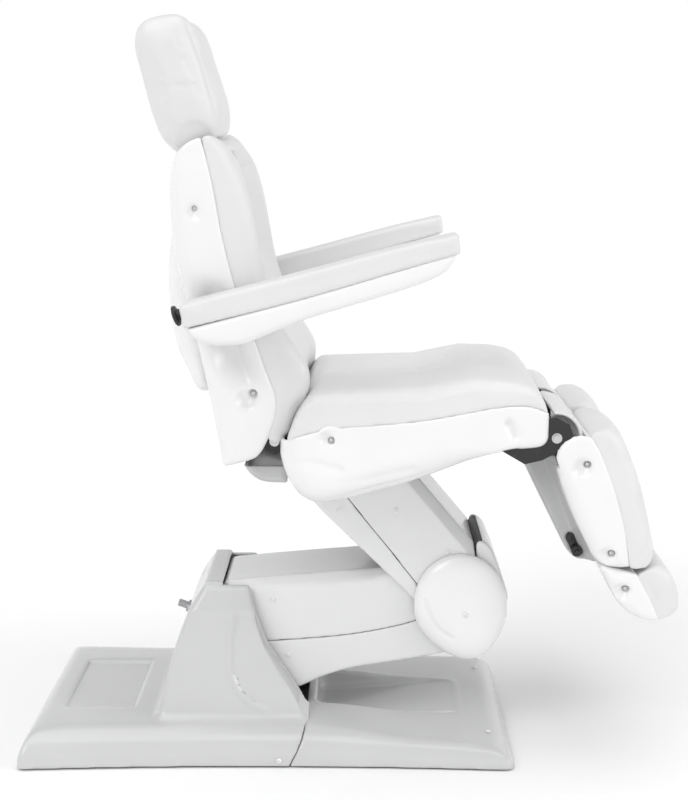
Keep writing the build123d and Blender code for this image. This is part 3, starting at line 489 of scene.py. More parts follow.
FINISHES = {
    "upholstery": material("Upholstery", (0.74, 0.74, 0.74), 0.42, vinyl_finish),
    "shell": material("MouldedShell", (0.85, 0.85, 0.85), 0.24, moulded_finish, coat=0.35),
    "cover": material("BaseCover", (0.585, 0.587, 0.59), 0.26, moulded_finish, coat=0.4),
    "arm_cover": material("ArmCover", (0.77, 0.771, 0.773), 0.26, moulded_finish, coat=0.4),
    # The slide housing is white plastic in shadow; this grey is painted shade in its colour.
    "shade_grey": material("PaintedShadeGrey", (0.46, 0.462, 0.465), 0.32, textured_finish),
    "black": material("BlackPaint", (0.018, 0.018, 0.019), 0.38, black_finish),
    "plastic": material("BlackPlastic", (0.02, 0.02, 0.021), 0.48, black_finish),
    "rubber": material("Rubber", (0.025, 0.025, 0.025), 0.75, black_finish),
    "steel": material("Steel", (0.62, 0.62, 0.63), 0.25, brushed_finish, metal=1.0),
}


def finished(piece, finish, body, *nodes):
    """Gives a piece its material and its body, and hides the CAD nodes it stands for."""
    piece.data.materials.clear()
    piece.data.materials.append(FINISHES[finish])
    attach(piece, body)
    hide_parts(*nodes)
    return piece


def pair(piece, name, finish, body, *nodes):
    """The finished right-hand piece, and its mirrored twin on the left."""
    twin = mirrored(piece, f"{name}_left")
    piece.name = f"{name}_right"
    for one, side in ((piece, "right"), (twin, "left")):
        finished(one, finish, f"{body}_{side}", *[f"{node}_{side}" for node in nodes])
    return piece, twin


# ---------------------------------------------------------------- seat
SEAT_HALF = 285.0
SEAT_SCREWS = (-26.0, 668.0), (321.0, 696.0)
SEAT_SEAM = [  # front to rear
    (400, 719), (352, 735), (295, 733), (238, 723), (162, 709), (67, 699), (-10, 693), (-57, 685),
    (-130, 663),
]
SHELL_UNDERSIDE = [  # rear to front
    (-124, 700), (-125, 666), (-125, 629), (-104, 575), (-82, 550), (-49, 537), (30, 551), (106, 572),
    (182, 600), (240, 626), (296, 643), (335, 651), (378, 657), (389, 668), (391, 690), (390, 800, 0),
    (-100, 800, 0),
]


def beneath(space, line, gap=0.0):
    """Everything under an (x, z) line that runs from front to rear."""
    smooth_line = [(x, z - gap) for x, z in open_line(line)]
    region = [*smooth_line, (-900.0, line[-1][1]), (-900.0, -900.0), (900.0, -900.0), (900.0, line[0][1])]
    return line_distance(region, space.x, space.z)


def screw_well(space, spot, y, radius, lean, dish=20.0):
    """A sunk screw's hole, and the shallow dish beside it, set off by lean."""
    out = math.copysign(1.0, y)
    hole = space.bar((spot[0], y + 4 * out, spot[1]), (spot[0], y - 12 * out, spot[1]), radius)
    middle = spot[0] + lean[0], y + dish * 0.42 * out, spot[1] + lean[1]
    return joined(hole, space.bar(middle, middle, dish), 4.0)


def seat_shell():
    space = Space((-130, 395), (-290, 290), (530, 745), 4.0)
    width = np.abs(space.y) - SEAT_HALF
    edge = np.interp(space.x, [-110, 60, 190, 285, 390], [42, 62, 50, 13, 13])
    outer = both(space.side(SHELL_UNDERSIDE), width, edge)
    solid = both(outer, beneath(space, SEAT_SEAM), 2.5)
    solid = without(solid, outer + 8.0, 2.0)
    solid = without(solid, space.box((350, 430), (-270, 270), (600, 900)), 3.0)
    solid = without(solid, space.box((-140, 206), (-131, 131), (400, 642), 8.0), 3.0)
    for side in (-1, 1):
        lane = sorted((side * 182, side * 202))
        solid = without(solid, space.box((-140, -70), lane, (604, 900), 3.0), 2.0)
        rear_spot, (x, z) = SEAT_SCREWS
        rear_well = screw_well(space, rear_spot, side * SEAT_HALF, 6.5, (-9, 4), 17.0)
        y = side * (SEAT_HALF + 3.0)
        front_well = space.bar((x - 6, y, z + 5), (x + 4, y, z - 17), 11.0)
        for spot, well in zip(SEAT_SCREWS, (rear_well, front_well)):
            boss = both(both(space.rod(spot, 30.0), SEAT_HALF - 26 - side * space.y, 0), outer, 0)
            solid = without(joined(solid, boss, 0), well, 4.0)
    piece = carved("seat_shell_moulding", space, solid)
    folds = []
    for s in (-1, 1):
        low_fold = [(-40, s * 262, 556), (60, s * 264, 572), (142, s * 268, 592), (330, s * 276, 655)]
        folds.append(groove([(-96, s * 276, 628), (-50, s * 284, 624), (-10, s * 284, 612)], 7, 4.0))
        folds.append(groove(low_fold, 6, 3.0))
        folds.append(groove([(-60, s * 270, 585), (40, s * 276, 592), (130, s * 276, 612)], 10, 3.5))
    press(piece, *folds)
    return finished(piece, "shell", "seat", "seat_shell")


SEAT_TOP = [  # rear to front, along the middle
    (-118, 655, 0), (-99, 702), (-78, 738), (-64, 766), (-44, 782), (0, 788), (60, 789), (175, 792),
    (235, 808), (290, 815), (330, 806), (364, 782), (382, 752), (389, 724, 0),
]


def seat_cushion():
    space = Space((-122, 392), (-288, 288), (640, 820), 6.0)
    side = space.side(SEAT_TOP + [(389.0, 600.0, 0), (-128.0, 600.0, 0)])
    across = np.abs(space.y)
    crown_across = [0, 60, 100, 150, 200, 240, 262, 276, 284]
    crown = np.interp(across, crown_across, [792, 785, 775, 768, 763, 759, 753, 742, 700])
    rise = np.interp(space.x, [-80, 0, 150, 250, 330, 400], [-6, -3, 2, 22, 18, 5])
    top = (space.z - crown - rise) * 0.75
    solid = both(both(side, top, 16.0), across - (SEAT_HALF - 3), 10.0)
    piece = carved("seat_pad", space, both(solid, -beneath(space, SEAT_SEAM, 4.0), 0))
    line = np.array(sorted(SEAT_SEAM))
    inflate(piece, 6.0, lambda p: smooth(2, 34, p[:, 2] - np.interp(p[:, 0], line[:, 0], line[:, 1])))
    subdivide(piece)
    return piece


def dressed_cushion(piece, body, node, fill, *strokes):
    if strokes:
        press(piece, *strokes)
    finished(piece, "upholstery", body, node)
    return piece


seat_shell()
side_band = [(384, 752), (340, 761), (250, 763), (120, 742), (0, 737), (-68, 731)]
seat_folds = [
    groove(side_line([(60, 770), (130, 774), (190, 786)], -120), 7, 3.0),
    groove([(20, -190, 762), (90, -150, 769), (150, -95, 778), (205, -40, 800)], 6, 2.6),
    groove([(250, -150, 788), (300, -70, 800), (330, 10, 806)], 8, 2.4),
    groove([(240, 150, 786), (300, 90, 798), (336, 30, 802)], 8, 2.4),
    groove([(-40, -120, 766), (20, -60, 783), (60, 30, 790)], 8, 2.2),
    groove([(60, 170, 766), (130, 110, 776), (200, 60, 800)], 7, 2.2),
]
band_seams = [groove(side_line(side_band, s * (SEAT_HALF - 2)), 4.5, 3.4) for s in (-1, 1)]
dressed_cushion(seat_cushion(), "seat", "seat_cushion", 0.75, *seat_folds, *band_seams)


def rear_under_cover():
    space = Space((-220, -112), (-180, 180), (555, 622), 3.0)
    outline = [
        (-216, 640, 0), (-216, 618), (-205, 598), (-191, 578), (-168, 563), (-116.5, 558.5, 0),
        (-116.5, 640, 0),
    ]
    outer = both(space.side(outline), np.abs(space.y) - 178, 16.0)
    solid = both(outer, space.z - 597, 1.5)
    piece = carved("rear_pan", space, without(solid, outer + 5.0, 1.0))
    return finished(piece, "cover", "seat", "rear_under_cover")


rear_under_cover()

# ---------------------------------------------------------------- backrest
BACK_HALF = 250.0
BACK_SCREWS = (-285.5, 1110.0), (-178.5, 752.0)
ARMREST_PIVOT = -212.0, 886.0
BACK_FRONT = [  # bottom to top
    (-172, 628), (-148, 668), (-134.5, 707), (-134.5, 746), (-151.5, 794), (-173.5, 858), (-210.5, 961),
    (-235.5, 1064), (-247.5, 1136), (-261.5, 1201), (-273, 1243, 0),
]
BACK_REAR = [  # top to bottom
    (-298, 1232), (-322, 1208), (-334, 1160), (-336, 1110), (-333.5, 1052), (-323, 986), (-310, 930),
    (-289, 852), (-268.5, 765), (-237.5, 608, 0), (-202.5, 616),
]


def back_shell():
    space = Space((-340, -125), (-254, 254), (600, 1246), 4.0)
    side = space.side(BACK_FRONT + BACK_REAR)
    # the wings under the armrests are dished, behind a proud front lip
    lines = [np.array(sorted((z, x) for x, z, *_ in line)).T for line in (BACK_FRONT, BACK_REAR)]
    from_front = np.interp(space.z, *lines[0]) - space.x
    from_rear = space.x - np.interp(space.z, *lines[1])
    dish = smooth(7, 50, from_front) * smooth(0, 60, from_rear)
    dish = dish * smooth(745, 830, space.z) * (1 - smooth(905, 990, space.z))
    waist = smooth(880, 1020, space.z)
    half = BACK_HALF - 33.0 * dish - 4.0 * (1 - waist)
    from_lip = smooth(-140, -235, space.x + (space.z - 700) * 0.27)
    edge = np.interp(space.z, [600, 700, 900, 1240], [8, 22, 40, 40]) * from_lip
    outer = both(side, (np.abs(space.y) - half) * 0.9, np.maximum(edge, 4.0))
    inner = both(both(side, np.abs(space.y) - half, 10.0) + 9.0, np.abs(space.y) - (BACK_HALF - 28), 0)
    solid = without(outer, inner, 1.0)
    solid = without(solid, both(space.rod(RECLINE_PIVOT, 97.0), np.abs(space.y) - 205, 2.0), 3.0)
    for s in (-1, 1):
        wells = ((-2, -10), 5.5, 14.0, 0), ((-13, -8), 9.0, 23.0, 5)
        for spot, (lean, radius, hollow, sunk) in zip(BACK_SCREWS, wells):
            well = screw_well(space, spot, s * (BACK_HALF - sunk), radius, lean, hollow)
            boss = both(both(space.rod(spot, 26.0), BACK_HALF - 40 - s * space.y, 0), outer, 0)
            solid = without(joined(solid, boss, 0), well, 5.0)
        hole = both(space.rod(ARMREST_PIVOT, 15.0), -s * space.y, 0)
        solid = without(solid, hole, 1.5)
    return finished(carved("back_moulding", space, solid), "shell", "backrest", "back_shell")


back_shell()
BULGE = [
    (-315, 1085), (-338, 1062), (-345, 1026), (-349, 987), (-349, 948), (-344, 889), (-332, 830),
    (-316.5, 794), (-290, 745), (-262, 745, 0), (-300, 1085, 0),
]


def back_motor_cover():
    space = Space((-352, -260), (-184, 184), (738, 1092), 4.0)
    outer = both(space.side(BULGE), np.abs(space.y) - 180, 34.0)
    region = [
        (-266.5, 745), (-287, 852), (-305, 938), (-317, 986), (-329.5, 1052), (-331, 1100),
        (0, 1100), (0, 740),
    ]
    solid = without(outer, line_distance(region, space.x, space.z))
    return finished(carved("back_bulge", space, solid), "shell", "backrest", "back_motor_cover")


back_motor_cover()
BACK_PAD_FRONT = [  # bottom to top, along the side bolsters
    (-132, 648, 0), (-119, 663), (-97, 706), (-78, 745), (-75, 787), (-98, 832), (-127, 880),
    (-149, 940), (-163, 985), (-173, 1040), (-183, 1097), (-193, 1144), (-208, 1196), (-229, 1234),
    (-252, 1247), (-271, 1243, 0),
]


def back_cushion():
    space = Space((-280, -66), (-246, 246), (644, 1252), 6.0)
    rear = [(x - 4.0, z) for x, z, *_ in reversed(BACK_FRONT[1:-1])]
    bolsters = space.side(BACK_PAD_FRONT + rear)
    sunk = []
    for x, z, *mark in BACK_PAD_FRONT:
        back = 50.0 * float(smooth(850, 1000, z) * (1 - smooth(1190, 1245, z)))
        back += 12.0 * float(1 - smooth(850, 930, z))
        sunk.append((x - back * (0 if mark or z < 700 else 1), z - 8.0 * (z > 1220), *mark))
    valley = space.side(sunk + rear)
    across = np.abs(space.y)
    share = smooth(120, 205, across)
    body = valley * (1 - share) + bolsters * share
    line = np.array([(z, x) for x, z, *_ in BACK_FRONT]).T
    edge = 1.0 + 25.0 * smooth(8, 40, space.x - np.interp(space.z, *line))
    piece = carved("back_pad", space, both(body, across - (BACK_HALF - 5), edge))
    inflate(piece, 6.0, lambda p: smooth(3, 36, p[:, 0] - np.interp(p[:, 2], *line)))
    subdivide(piece)
    return piece


valley_seams = []
for s in (-1, 1):
    upper = [(-262, s * 148, 1232), (-236, s * 150, 1140), (-218, s * 148, 1040), (-194, s * 146, 960)]
    valley_seams.append(groove(upper, 8, 5))
    valley_seams.append(groove([(-194, s * 146, 960), (-140, s * 142, 880), (-92, s * 140, 800)], 7, 3))
dressed_cushion(back_cushion(), "backrest", "back_cushion", 0.75, *valley_seams)

# ---------------------------------------------------------------- headrest
HEAD_OUTLINE = [
    (-330, 1206, 0), (-300, 1226), (-278, 1236), (-254, 1240), (-246, 1254), (-249, 1304), (-259, 1340),
    (-275, 1390), (-291, 1436), (-304, 1464), (-324, 1478), (-362, 1475), (-398, 1463), (-411, 1436),
    (-399, 1370), (-387, 1317), (-372, 1271), (-355, 1232),
]


POST_TOP, POST_SUNK = (-322, 1290), 120


def headrest():
    space = Space((-416, -238), (-142, 142), (1200, 1486), 5.0)
    across = np.abs(space.y)
    solid = both(space.side(HEAD_OUTLINE), across - 136, 34.0)
    (x, z), (ahead, down) = POST_TOP, (0.2756 * POST_SUNK, 0.9613 * POST_SUNK)
    for y in (-50, 50):
        post = space.bar((x + ahead, y, z - down), (x, y, z), 6.6)
        solid = without(solid, post, 0)
    piece = carved("head_pad", space, solid)
    inflate(piece, 4.0, lambda p: np.ones(len(p)))
    subdivide(piece)
    return piece


head_seams = []
for s in (-1, 1):
    slit = [(-360, s * 137, 1330), (-347, s * 137, 1270), (-329, s * 134, 1210)]
    face_edge = side_line([(-308, 1454), (-276, 1380), (-262, 1310), (-257, 1256)], s * 116)
    head_seams.append(groove(slit, 2.6, 3.4))
    head_seams.append(groove([(-330, s * 138, 1342), (-308, s * 138, 1338), (-293, s * 137, 1344)], 6, 2.0))
    head_seams.append(groove(face_edge, 7, 3.6))
dressed_cushion(headrest(), "headrest", "headrest_cushion", 0.8, *head_seams)

# ---------------------------------------------------------------- armrests
ARMREST_IN, ARMREST_OUT = 258.0, 346.0
ARMREST_SHELL = [
    (-294, 892, 0), (-284, 876), (-262.5, 864), (-235.5, 859.5), (-186.5, 863), (-150.5, 877),
    (-82.5, 905), (10.5, 934), (102.5, 962), (157.5, 982), (190.5, 1001), (211, 1034.5, 0),
    (101.5, 1002.5), (-82.5, 948.5),
]
ARMREST_PAD = [
    (-301, 890, 0), (-82.5, 945), (101.5, 999), (215, 1031, 0), (212, 1069, 0), (101.5, 1043),
    (-81.5, 994), (-266.5, 946), (-311, 935, 0),
]


def armrest():
    span = (-ARMREST_OUT, -ARMREST_IN)
    middle, half = sum(span) / 2, (ARMREST_OUT - ARMREST_IN) / 2
    space = Space((-300, 218), span, (855, 1042), 4.0)
    across = np.abs(space.y - middle)
    taper = 8.0 * smooth(10, 90, 966 + 0.29 * space.x - space.z)
    outer = both(space.side(ARMREST_SHELL), across - (half - 2 - taper), 12.0)
    seam = [(240, 1042), (101.5, 1002), (-82.5, 948), (-320, 885)]
    shell = both(outer, beneath(space, seam), 1.5)
    hub = both(space.rod(ARMREST_PIVOT, 18.0), both(space.y - (-257.0), -303.0 - space.y, 0), 2.0)
    shell = joined(shell, hub, 3.0)
    shell = without(shell, both(space.rod(ARMREST_PIVOT, 10.5), -303.0 - space.y, 0), 0)
    moulding = carved("armrest_moulding", space, shell)
    pair(moulding, "armrest_moulding", "shell", "armrest", "armrest_shell")
    space = Space((-314, 218), span, (886, 1074), 5.0)
    across = np.abs(space.y - middle)
    above = space.z - np.interp(space.x, [-301, 215], [892, 1033])
    pad = both(space.side(ARMREST_PAD) + 1.0, across - (half - 2), 1.0 + 6.0 * smooth(6, 20, above))
    piece = carved("armrest_cushion", space, pad)
    inflate(piece, 1.5, lambda p: smooth(2, 20, p[:, 2] - np.interp(p[:, 0], [-293, 213], [897, 1036])))
    subdivide(piece)
    return pair(piece, "armrest_cushion", "upholstery", "armrest", "armrest_pad")


for cushion in armrest():
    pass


def armrest_cap():
    space = Space((-338, -296), (-336, -268), (886, 936), 2.5)
    # the cap leans back with the armrest's rear end
    x, z = space.x + 319.0, space.z - 911.0
    ahead, up = x * 0.94 + z * 0.34, z * 0.94 - x * 0.34
    oval = np.sqrt((up / 20.0) ** 2 + ((space.y + 302.0) / 31.0) ** 2) * 20.0 - 20.0
    solid = both(oval, np.abs(ahead - 2.0) - 3.5, 2.5)
    solid = joined(solid, both(oval + 9.0, np.abs(ahead - 6.0) - 9.0, 1.0), 2.0)
    piece = carved("armrest_cap", space, solid)
    return pair(piece, "armrest_cap", "plastic", "armrest", "armrest_end_cap")


armrest_cap()

# ---------------------------------------------------------------- leg rests, in (along, out) of the leg
LEG_IN, LEG_OUT = 18.0, 284.0
LEG_SCREWS = (70.0, 37.0), (253.0, 19.0)
FOOT_SCREW = 331.0, 20.0
LEG_SHELL = [
    (29, -13), (16, 0), (9, 19), (10, 42), (22, 62, 0), (51, 67), (104, 68), (156, 66), (218, 59),
    (292, 44, 0), (288, 22), (272, -4), (250, -16), (215, -20), (163, -24), (78, -23),
]
LEG_PAD = [
    (20, 59, 0), (51, 64), (104, 65), (156, 63), (218, 56), (295, 41, 0), (303, 66), (300, 84),
    (286, 96), (239, 107), (168, 118), (106, 121), (40, 117), (16, 104), (12, 86),
]
FOOT_SHELL = [
    (269, -10), (284, 12), (311, 51, 0), (371, 57), (410, 59, 0), (409, 44), (398, 24), (378, 7),
    (350, -4), (300, -11),
]
FOOT_PAD = [
    (314, 46, 0), (308, 80), (318, 101), (342, 112), (388, 109), (410, 101), (417, 85), (411, 54, 0),
    (371, 52),
]
LEG_MIDDLE, LEG_HALF = -(LEG_IN + LEG_OUT) / 2, (LEG_OUT - LEG_IN) / 2


RAILS, RAIL_OUT = (-110, -190), 24.0


def leg_space(along, out, step, y=(-LEG_OUT, -LEG_IN)):
    space = Space(along, y, out, step)
    space.across = np.abs(space.y - LEG_MIDDLE)
    return space


def leg_well(space, y, inward, spot):
    """A sunk screw's hole, and a shallow dish behind it."""
    hole = space.bar((spot[0], y, spot[1]), (spot[0], y + inward, spot[1]), 7.0)
    middle = spot[0] + 2, y - inward * 0.75, spot[1] - 13
    return joined(hole, space.bar(middle, middle, 23.0), 4.0)


def leg_shell():
    space = leg_space((5, 296), (-28, 72), 3.5)
    rear = np.interp(space.z, [-25, 20, 68], [26, 26, 3]) * (0.4 + 0.6 * smooth(30, 90, space.x))
    solid = both(space.side(LEG_SHELL), space.across - LEG_HALF, rear)
    solid = without(solid, both(space.rod((0, 0), 57.0), space.across - (LEG_HALF - 9), 2.0), 1.0)
    for y in RAILS:
        rail = np.hypot(space.y - y, space.z - RAIL_OUT) - 11.0
        solid = without(solid, both(rail, 250 - space.x, 0), 2.0)
    for y, inward in ((-LEG_OUT, 15.0), (-LEG_IN, -15.0)):
        for spot in LEG_SCREWS:
            solid = without(solid, leg_well(space, y, inward, spot), 4.0)
    return pair(carved("calf_moulding", space, solid, LEG), "calf_moulding", "shell", "leg", "leg_shell")


def leg_box():
    space = leg_space((28, 275), (-78, -10), 3.0, (-262, -40))
    outline = [
        (34, -14, 0), (36, -73, 0), (100, -69), (205, -61.5), (240, -57), (262, -46), (269, -32),
        (264, -10, 0),
    ]
    # the sides spread to meet the moulding they slide in
    spread = 50.0 + 58.0 * smooth(-36, -12, space.z)
    solid = both(space.side(outline), (np.abs(space.y + 150) - spread) * 0.5, 6.0)
    for y in (-201, -99):
        slot = np.maximum(space.bar((214, y, -42), (250, y, -41), 10.5), np.abs(space.y - y) - 5.0)
        solid = without(solid, slot, 1.0)
    # the housing is coloured grey as painted shade
    pair(carved("slide_housing", space, solid, LEG), "slide_housing", "shade_grey", "leg", "leg_box")
    space = leg_space((195, 265), (-64, -22), 2.0, (-197.5, -190))
    insert = both(space.bar((214, -194, -42), (250, -194, -41), 10.0), np.abs(space.y + 194) - 3.0, 1.0)
    for u in (218, 231):
        stud = both(space.bar((u, -194, -42), (u, -194, -42), 5.0), -199 - space.y, 0)
        insert = joined(insert, stud, 0.5)
    return pair(carved("slide_slot", space, insert, LEG), "slide_slot", "plastic", "leg")


def leg_pad():
    space = leg_space((8, 306), (36, 124), 5.0)
    crown = 0.0009 * space.across**2
    body = space.side(LEG_PAD) + crown * smooth(70, 110, space.z) * 0.6
    edge = 1.0 + 24.0 * smooth(72, 104, space.z)
    piece = carved("calf_pad", space, both(body, space.across - (LEG_HALF - 3), edge), LEG)
    inflate(piece, 5.0, lambda p: smooth(68, 96, out_of_leg(p)))
    subdivide(piece)
    seam = (14, 96), (40, 104), (106, 108), (168, 105), (239, 95), (296, 80)
    line = [limb_point(u, v) for u, v in seam]
    press(piece, *[groove([(x, y, z) for x, z in line], 2.4, 2.4) for y in (-LEG_OUT + 6, -LEG_IN - 6)])
    return pair(piece, "calf_pad", "upholstery", "leg", "leg_cushion")


def out_of_leg(places):
    """How far each (x, y, z) place stands out of the right leg rest."""
    back = np.array(LEG.inverted())
    return places @ back[2, :3] + back[2, 3]


def limb_point(u, v):
    """A leg's (along, out) as (x, z)."""
    point = LEG @ Vector((u, 0, v))
    return point.x, point.z


def knee_roll():
    """The gathered cover over the knee joint, with a stitched edge."""
    space = leg_space((-52, 30), (-5, 54), 2.5, (-266, -28))
    r = np.hypot(space.x, space.z)
    turn = np.degrees(np.arctan2(space.z, space.x))
    gathers = smooth(0.2, 1.0, np.cos(space.y / 31.0) ** 2)
    folds = 0.9 * np.sin(np.radians(turn) * 26 + 2.0 * np.sin(space.y / 23.0)) * gathers
    ring = both(r - 49.0 - folds, 43.5 - r, 1.5)
    wedge = np.maximum(62 - turn, turn - 165) * 0.8
    solid = both(both(ring, wedge, 1.5), np.abs(space.y + 147) - 117, 2.0)
    for y in (-264, -30):
        bead = np.hypot(r - 47.5, space.y - y) - 3.6 - 0.7 * np.cos(np.radians(turn) * 70)
        solid = joined(solid, both(bead, wedge, 1.0), 1.0)
    return pair(carved("knee_roll", space, solid, LEG), "knee_roll", "upholstery", "leg", "knee_cover")


def foot_shell():
    space = leg_space((262, 414), (-15, 62), 3.5)
    rear = np.interp(space.z, [-15, 20, 58], [22, 22, 3])
    solid = both(space.side(FOOT_SHELL), space.across - (LEG_HALF - 2), rear)
    for y, inward in ((-LEG_OUT + 2, 14.0), (-LEG_IN - 2, -14.0)):
        solid = without(solid, leg_well(space, y, inward, FOOT_SCREW), 4.0)
    for y in RAILS:
        rail = np.hypot(space.y - y, space.z - RAIL_OUT) - 8.5
        solid = without(solid, both(rail, space.x - 350, 0), 0.5)
    return pair(carved("foot_moulding", space, solid, LEG), "foot_moulding", "shell", "foot", "foot_shell")


def foot_pad():
    space = leg_space((302, 420), (42, 116), 5.0)
    edge = 1.0 + 19.0 * smooth(62, 94, space.z)
    piece = carved("foot_pad", space, both(space.side(FOOT_PAD), space.across - (LEG_HALF - 4), edge), LEG)
    inflate(piece, 4.0, lambda p: smooth(60, 84, out_of_leg(p)))
    subdivide(piece)
    return pair(piece, "foot_pad", "upholstery", "foot", "foot_cushion")


leg_shell()
leg_box()
knee_roll()
foot_shell()
for cushion in (*leg_pad(), *foot_pad()):
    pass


# ---------------------------------------------------------------- base
SKIRT = [  # (y, z) of one half
    (282, -30, 0), (278, 3), (273, 34), (259, 58), (236, 71), (212, 76),
]


def mirrored_outline(half):
    return half + [(-y, z, *mark) for y, z, *mark in reversed(half)]


def flared(space):
    """Distance across the base, eased so that its two ends stand out wider than its middle."""
    return space.y / (1 + 0.07 * np.clip((space.x + 120.0) / 500.0, -1.1, 1.0) ** 2)


BASE_SEAM = [(-50.0, 160.0), (-79.0, 76.0), (-86.0, 55.0), (-98.0, 28.0), (-112.0, 0.0), (-122.0, -40.0)]


def behind_seam(space):
    return line_distance([*open_line(BASE_SEAM), (-900.0, -40.0), (-900.0, 160.0)], space.x, space.z)


def slots_for_feet(space, solid):
    for s in (-1, 1):
        lane = sorted((s * 165, s * 215))
        solid = without(solid, space.box((-140, -50), lane, (-20, 45)), 0)
    return both(solid, 3 - space.z, 0)


def rear_cover():
    space = Space((-660, -60), (-304, 304), (2, 342), 4.0)
    across = flared(space)
    rear_end = [(-662, -40, 0), (-656, 3), (-648, 38), (-634, 64), (-612, 76), (60, 76, 0), (60, -40, 0)]
    rear_end = space.side(rear_end)
    section = line_distance(spline(mirrored_outline(SKIRT)), across, space.z)
    corner = both(-656 - space.x, np.abs(across) - 278, 18.0)
    skirt = both(both(rear_end, section, 9.0), corner, 4.0)
    skirt = both(skirt, behind_seam(space) + 0.6, 1.0)
    profile = [
        (-398, -60, 0), (-384, 60), (-353, 200), (-319, 290), (-290, 337, 0), (-198, 337, 0),
        (-191, 299, 0), (-164, 221), (-138, 177), (-103, 123), (-80, 72), (-78, -60, 0),
    ]
    wall = [(236.0, -60.0, 0), (206.0, 76.0), (157.0, 290.0, 0), (128.0, 337.0, 0)]
    tower = both(space.side(profile), space.front(mirrored_outline(wall)), 11.0)
    # the panel ahead of the curved crease lies deeper, and the crease itself stands proud
    crease = [
        (-222, 300), (-229, 250), (-232, 205), (-231, 168), (-214, 132), (-184, 106), (-133, 84),
        (-60, 62),
    ]
    panel = [*open_line(crease), (100.0, 62.0), (100.0, 400.0), (-222.0, 400.0)]
    panel = line_distance(panel, space.x, space.z)
    fade = (1 - smooth(262, 290, space.z)) * smooth(80, 104, space.z)
    depth = 4.5 * (1 - smooth(-7, 3, panel)) * fade
    bead = 3.0 * np.exp(-(((panel - 4.0) / 6.0) ** 2)) * fade
    outer = joined(skirt, tower + (depth - bead) * (np.abs(space.y) > 122), 20.0)
    solid = without(outer, outer + 9.0, 1.0)
    solid = without(solid, space.box((-266, -50), (-118, 118), (45, 420), 3.0), 3.0)
    cover = both(space.box((-290, -252), (-126, 126), (333.5, 341), 1.0), space.x + 252, 1.0)
    solid = joined(solid, cover, 1.0)
    tread = space.box((-592, -432), (-150, 150), (73.0, 130), 16.0)
    solid = without(joined(solid, space.box((-600, -424), (-160, 160), (60, 70), 3.0), 0), tread, 4.0)
    hatch = np.maximum(np.abs(space.y) - 92, np.abs(space.z - 205) - 98)
    solid = solid + 2.6 * np.exp(-((hatch / 4.6) ** 2)) * (space.x < -300)
    solid = without(solid, space.bar((-330, 0, 247), (-400, 0, 274), 10.0), 1.0)
    piece = carved("rear_cover_moulding", space, slots_for_feet(space, solid))
    return finished(piece, "cover", "base", "rear_cover")


def front_cover():
    space = Space((-125, 344), (-304, 304), (2, 80), 3.5)
    across = flared(space)
    top = [
        (-200, -40, 0), (-200, 76, 0), (-22, 70), (109, 55), (262, 46), (308, 38), (330, 22), (340, 0),
        (343, -40, 0),
    ]
    # the flanks fall away towards the front, below the raised middle
    drop = np.interp(space.x, [-80, 100, 280, 341], [0, 8, 14, 14])
    section = [(284.0, -90.0, 0), *SKIRT[1:5], (205.0, 78.0), (150.0, 87.0), (60.0, 98.0)]
    section = line_distance(spline(mirrored_outline(section)), across, space.z + drop)
    corner = both(space.x - 341, np.abs(across) - 278, 30.0)
    outer = both(both(space.side(top), section, 9.0), corner, 6.0)
    outer = both(outer, 0.6 - behind_seam(space), 1.0)
    solid = without(outer, outer + 9.0, 1.0)
    ramp = np.interp(space.x, [-30, 60, 240], [30, 36, 52])
    well = both(space.box((-60, 236), (-97, 97), (0, 160), 22.0), ramp - space.z, 14.0)
    tub = both(both(space.box((-70, 246), (-107, 107), (0, 160), 22.0), ramp - 9 - space.z, 8.0), outer, 0)
    solid = without(joined(solid, tub, 2.0), well, 9.0)
    piece = carved("front_cover_moulding", space, slots_for_feet(space, solid))
    return finished(piece, "cover", "base", "front_cover")


rear_cover()
front_cover()

# ---------------------------------------------------------------- lower arm
NOSE_R = 86.0
LOWER_SEAM = [(-262, 206), (-165, 209), (8, 224), (103, 242), (180, 262), (340, 268)]


def nose_points(start, end):
    """Points round the arm's end at the elbow, between two angles in degrees."""
    steps = 5
    turns = [math.radians(start + (end - start) * i / steps) for i in range(steps + 1)]
    return [(ELBOW[0] + NOSE_R * math.cos(t), ELBOW[1] + NOSE_R * math.sin(t)) for t in turns]


LOWER_OUTLINE = [
    (-262, 150), (-262, 305), (-250, 331), (-208, 338), (54, 361), (150, 368),
    *nose_points(90, -85),
    (196, 183), (113, 168), (9, 150), (-53, 130), (-102, 108), (-180, 96), (-240, 112),
]


def lower_arm():
    space = Space((-266, 334), (-114, 114), (92, 372), 3.5)
    across = np.abs(space.y)
    side = space.side(LOWER_OUTLINE, 5)
    fade = np.interp(space.x, [-260, 60, 130], [20, 20, 4])
    chamfer = (side + across - 112 + fade) * 0.7071
    outer = both(np.maximum(side, chamfer * (space.z > 250) + (space.z <= 250) * side), across - 112, 4.0)
    hollow = without(outer, outer + 7.0, 1.0)
    hollow = without(hollow, space.rod(ELBOW, 17.0), 1.0)
    seam = [(-420.0, 206.0), *open_line(LOWER_SEAM), (500.0, 270.0)]
    below = line_distance([*seam, (500.0, -200.0), (-420.0, -200.0)], space.x, space.z)
    top = both(without(hollow, space.box((-300, -200), (-91, 91), (150, 322)), 0), -below + 0.4, 0.6)
    bottom = both(without(hollow, space.box((-300, -118), (-91, 91), (0, 322)), 0), below + 0.4, 0.6)
    finished(carved("lower_arm_top", space, top), "arm_cover", "lower_arm", "lower_arm_top_cover")
    finished(carved("lower_arm_bottom", space, bottom), "arm_cover", "lower_arm", "lower_arm_bottom_cover")


lower_arm()

# ---------------------------------------------------------------- upper arm, in (along, out to the rear)
ARM_HALF = 125.0


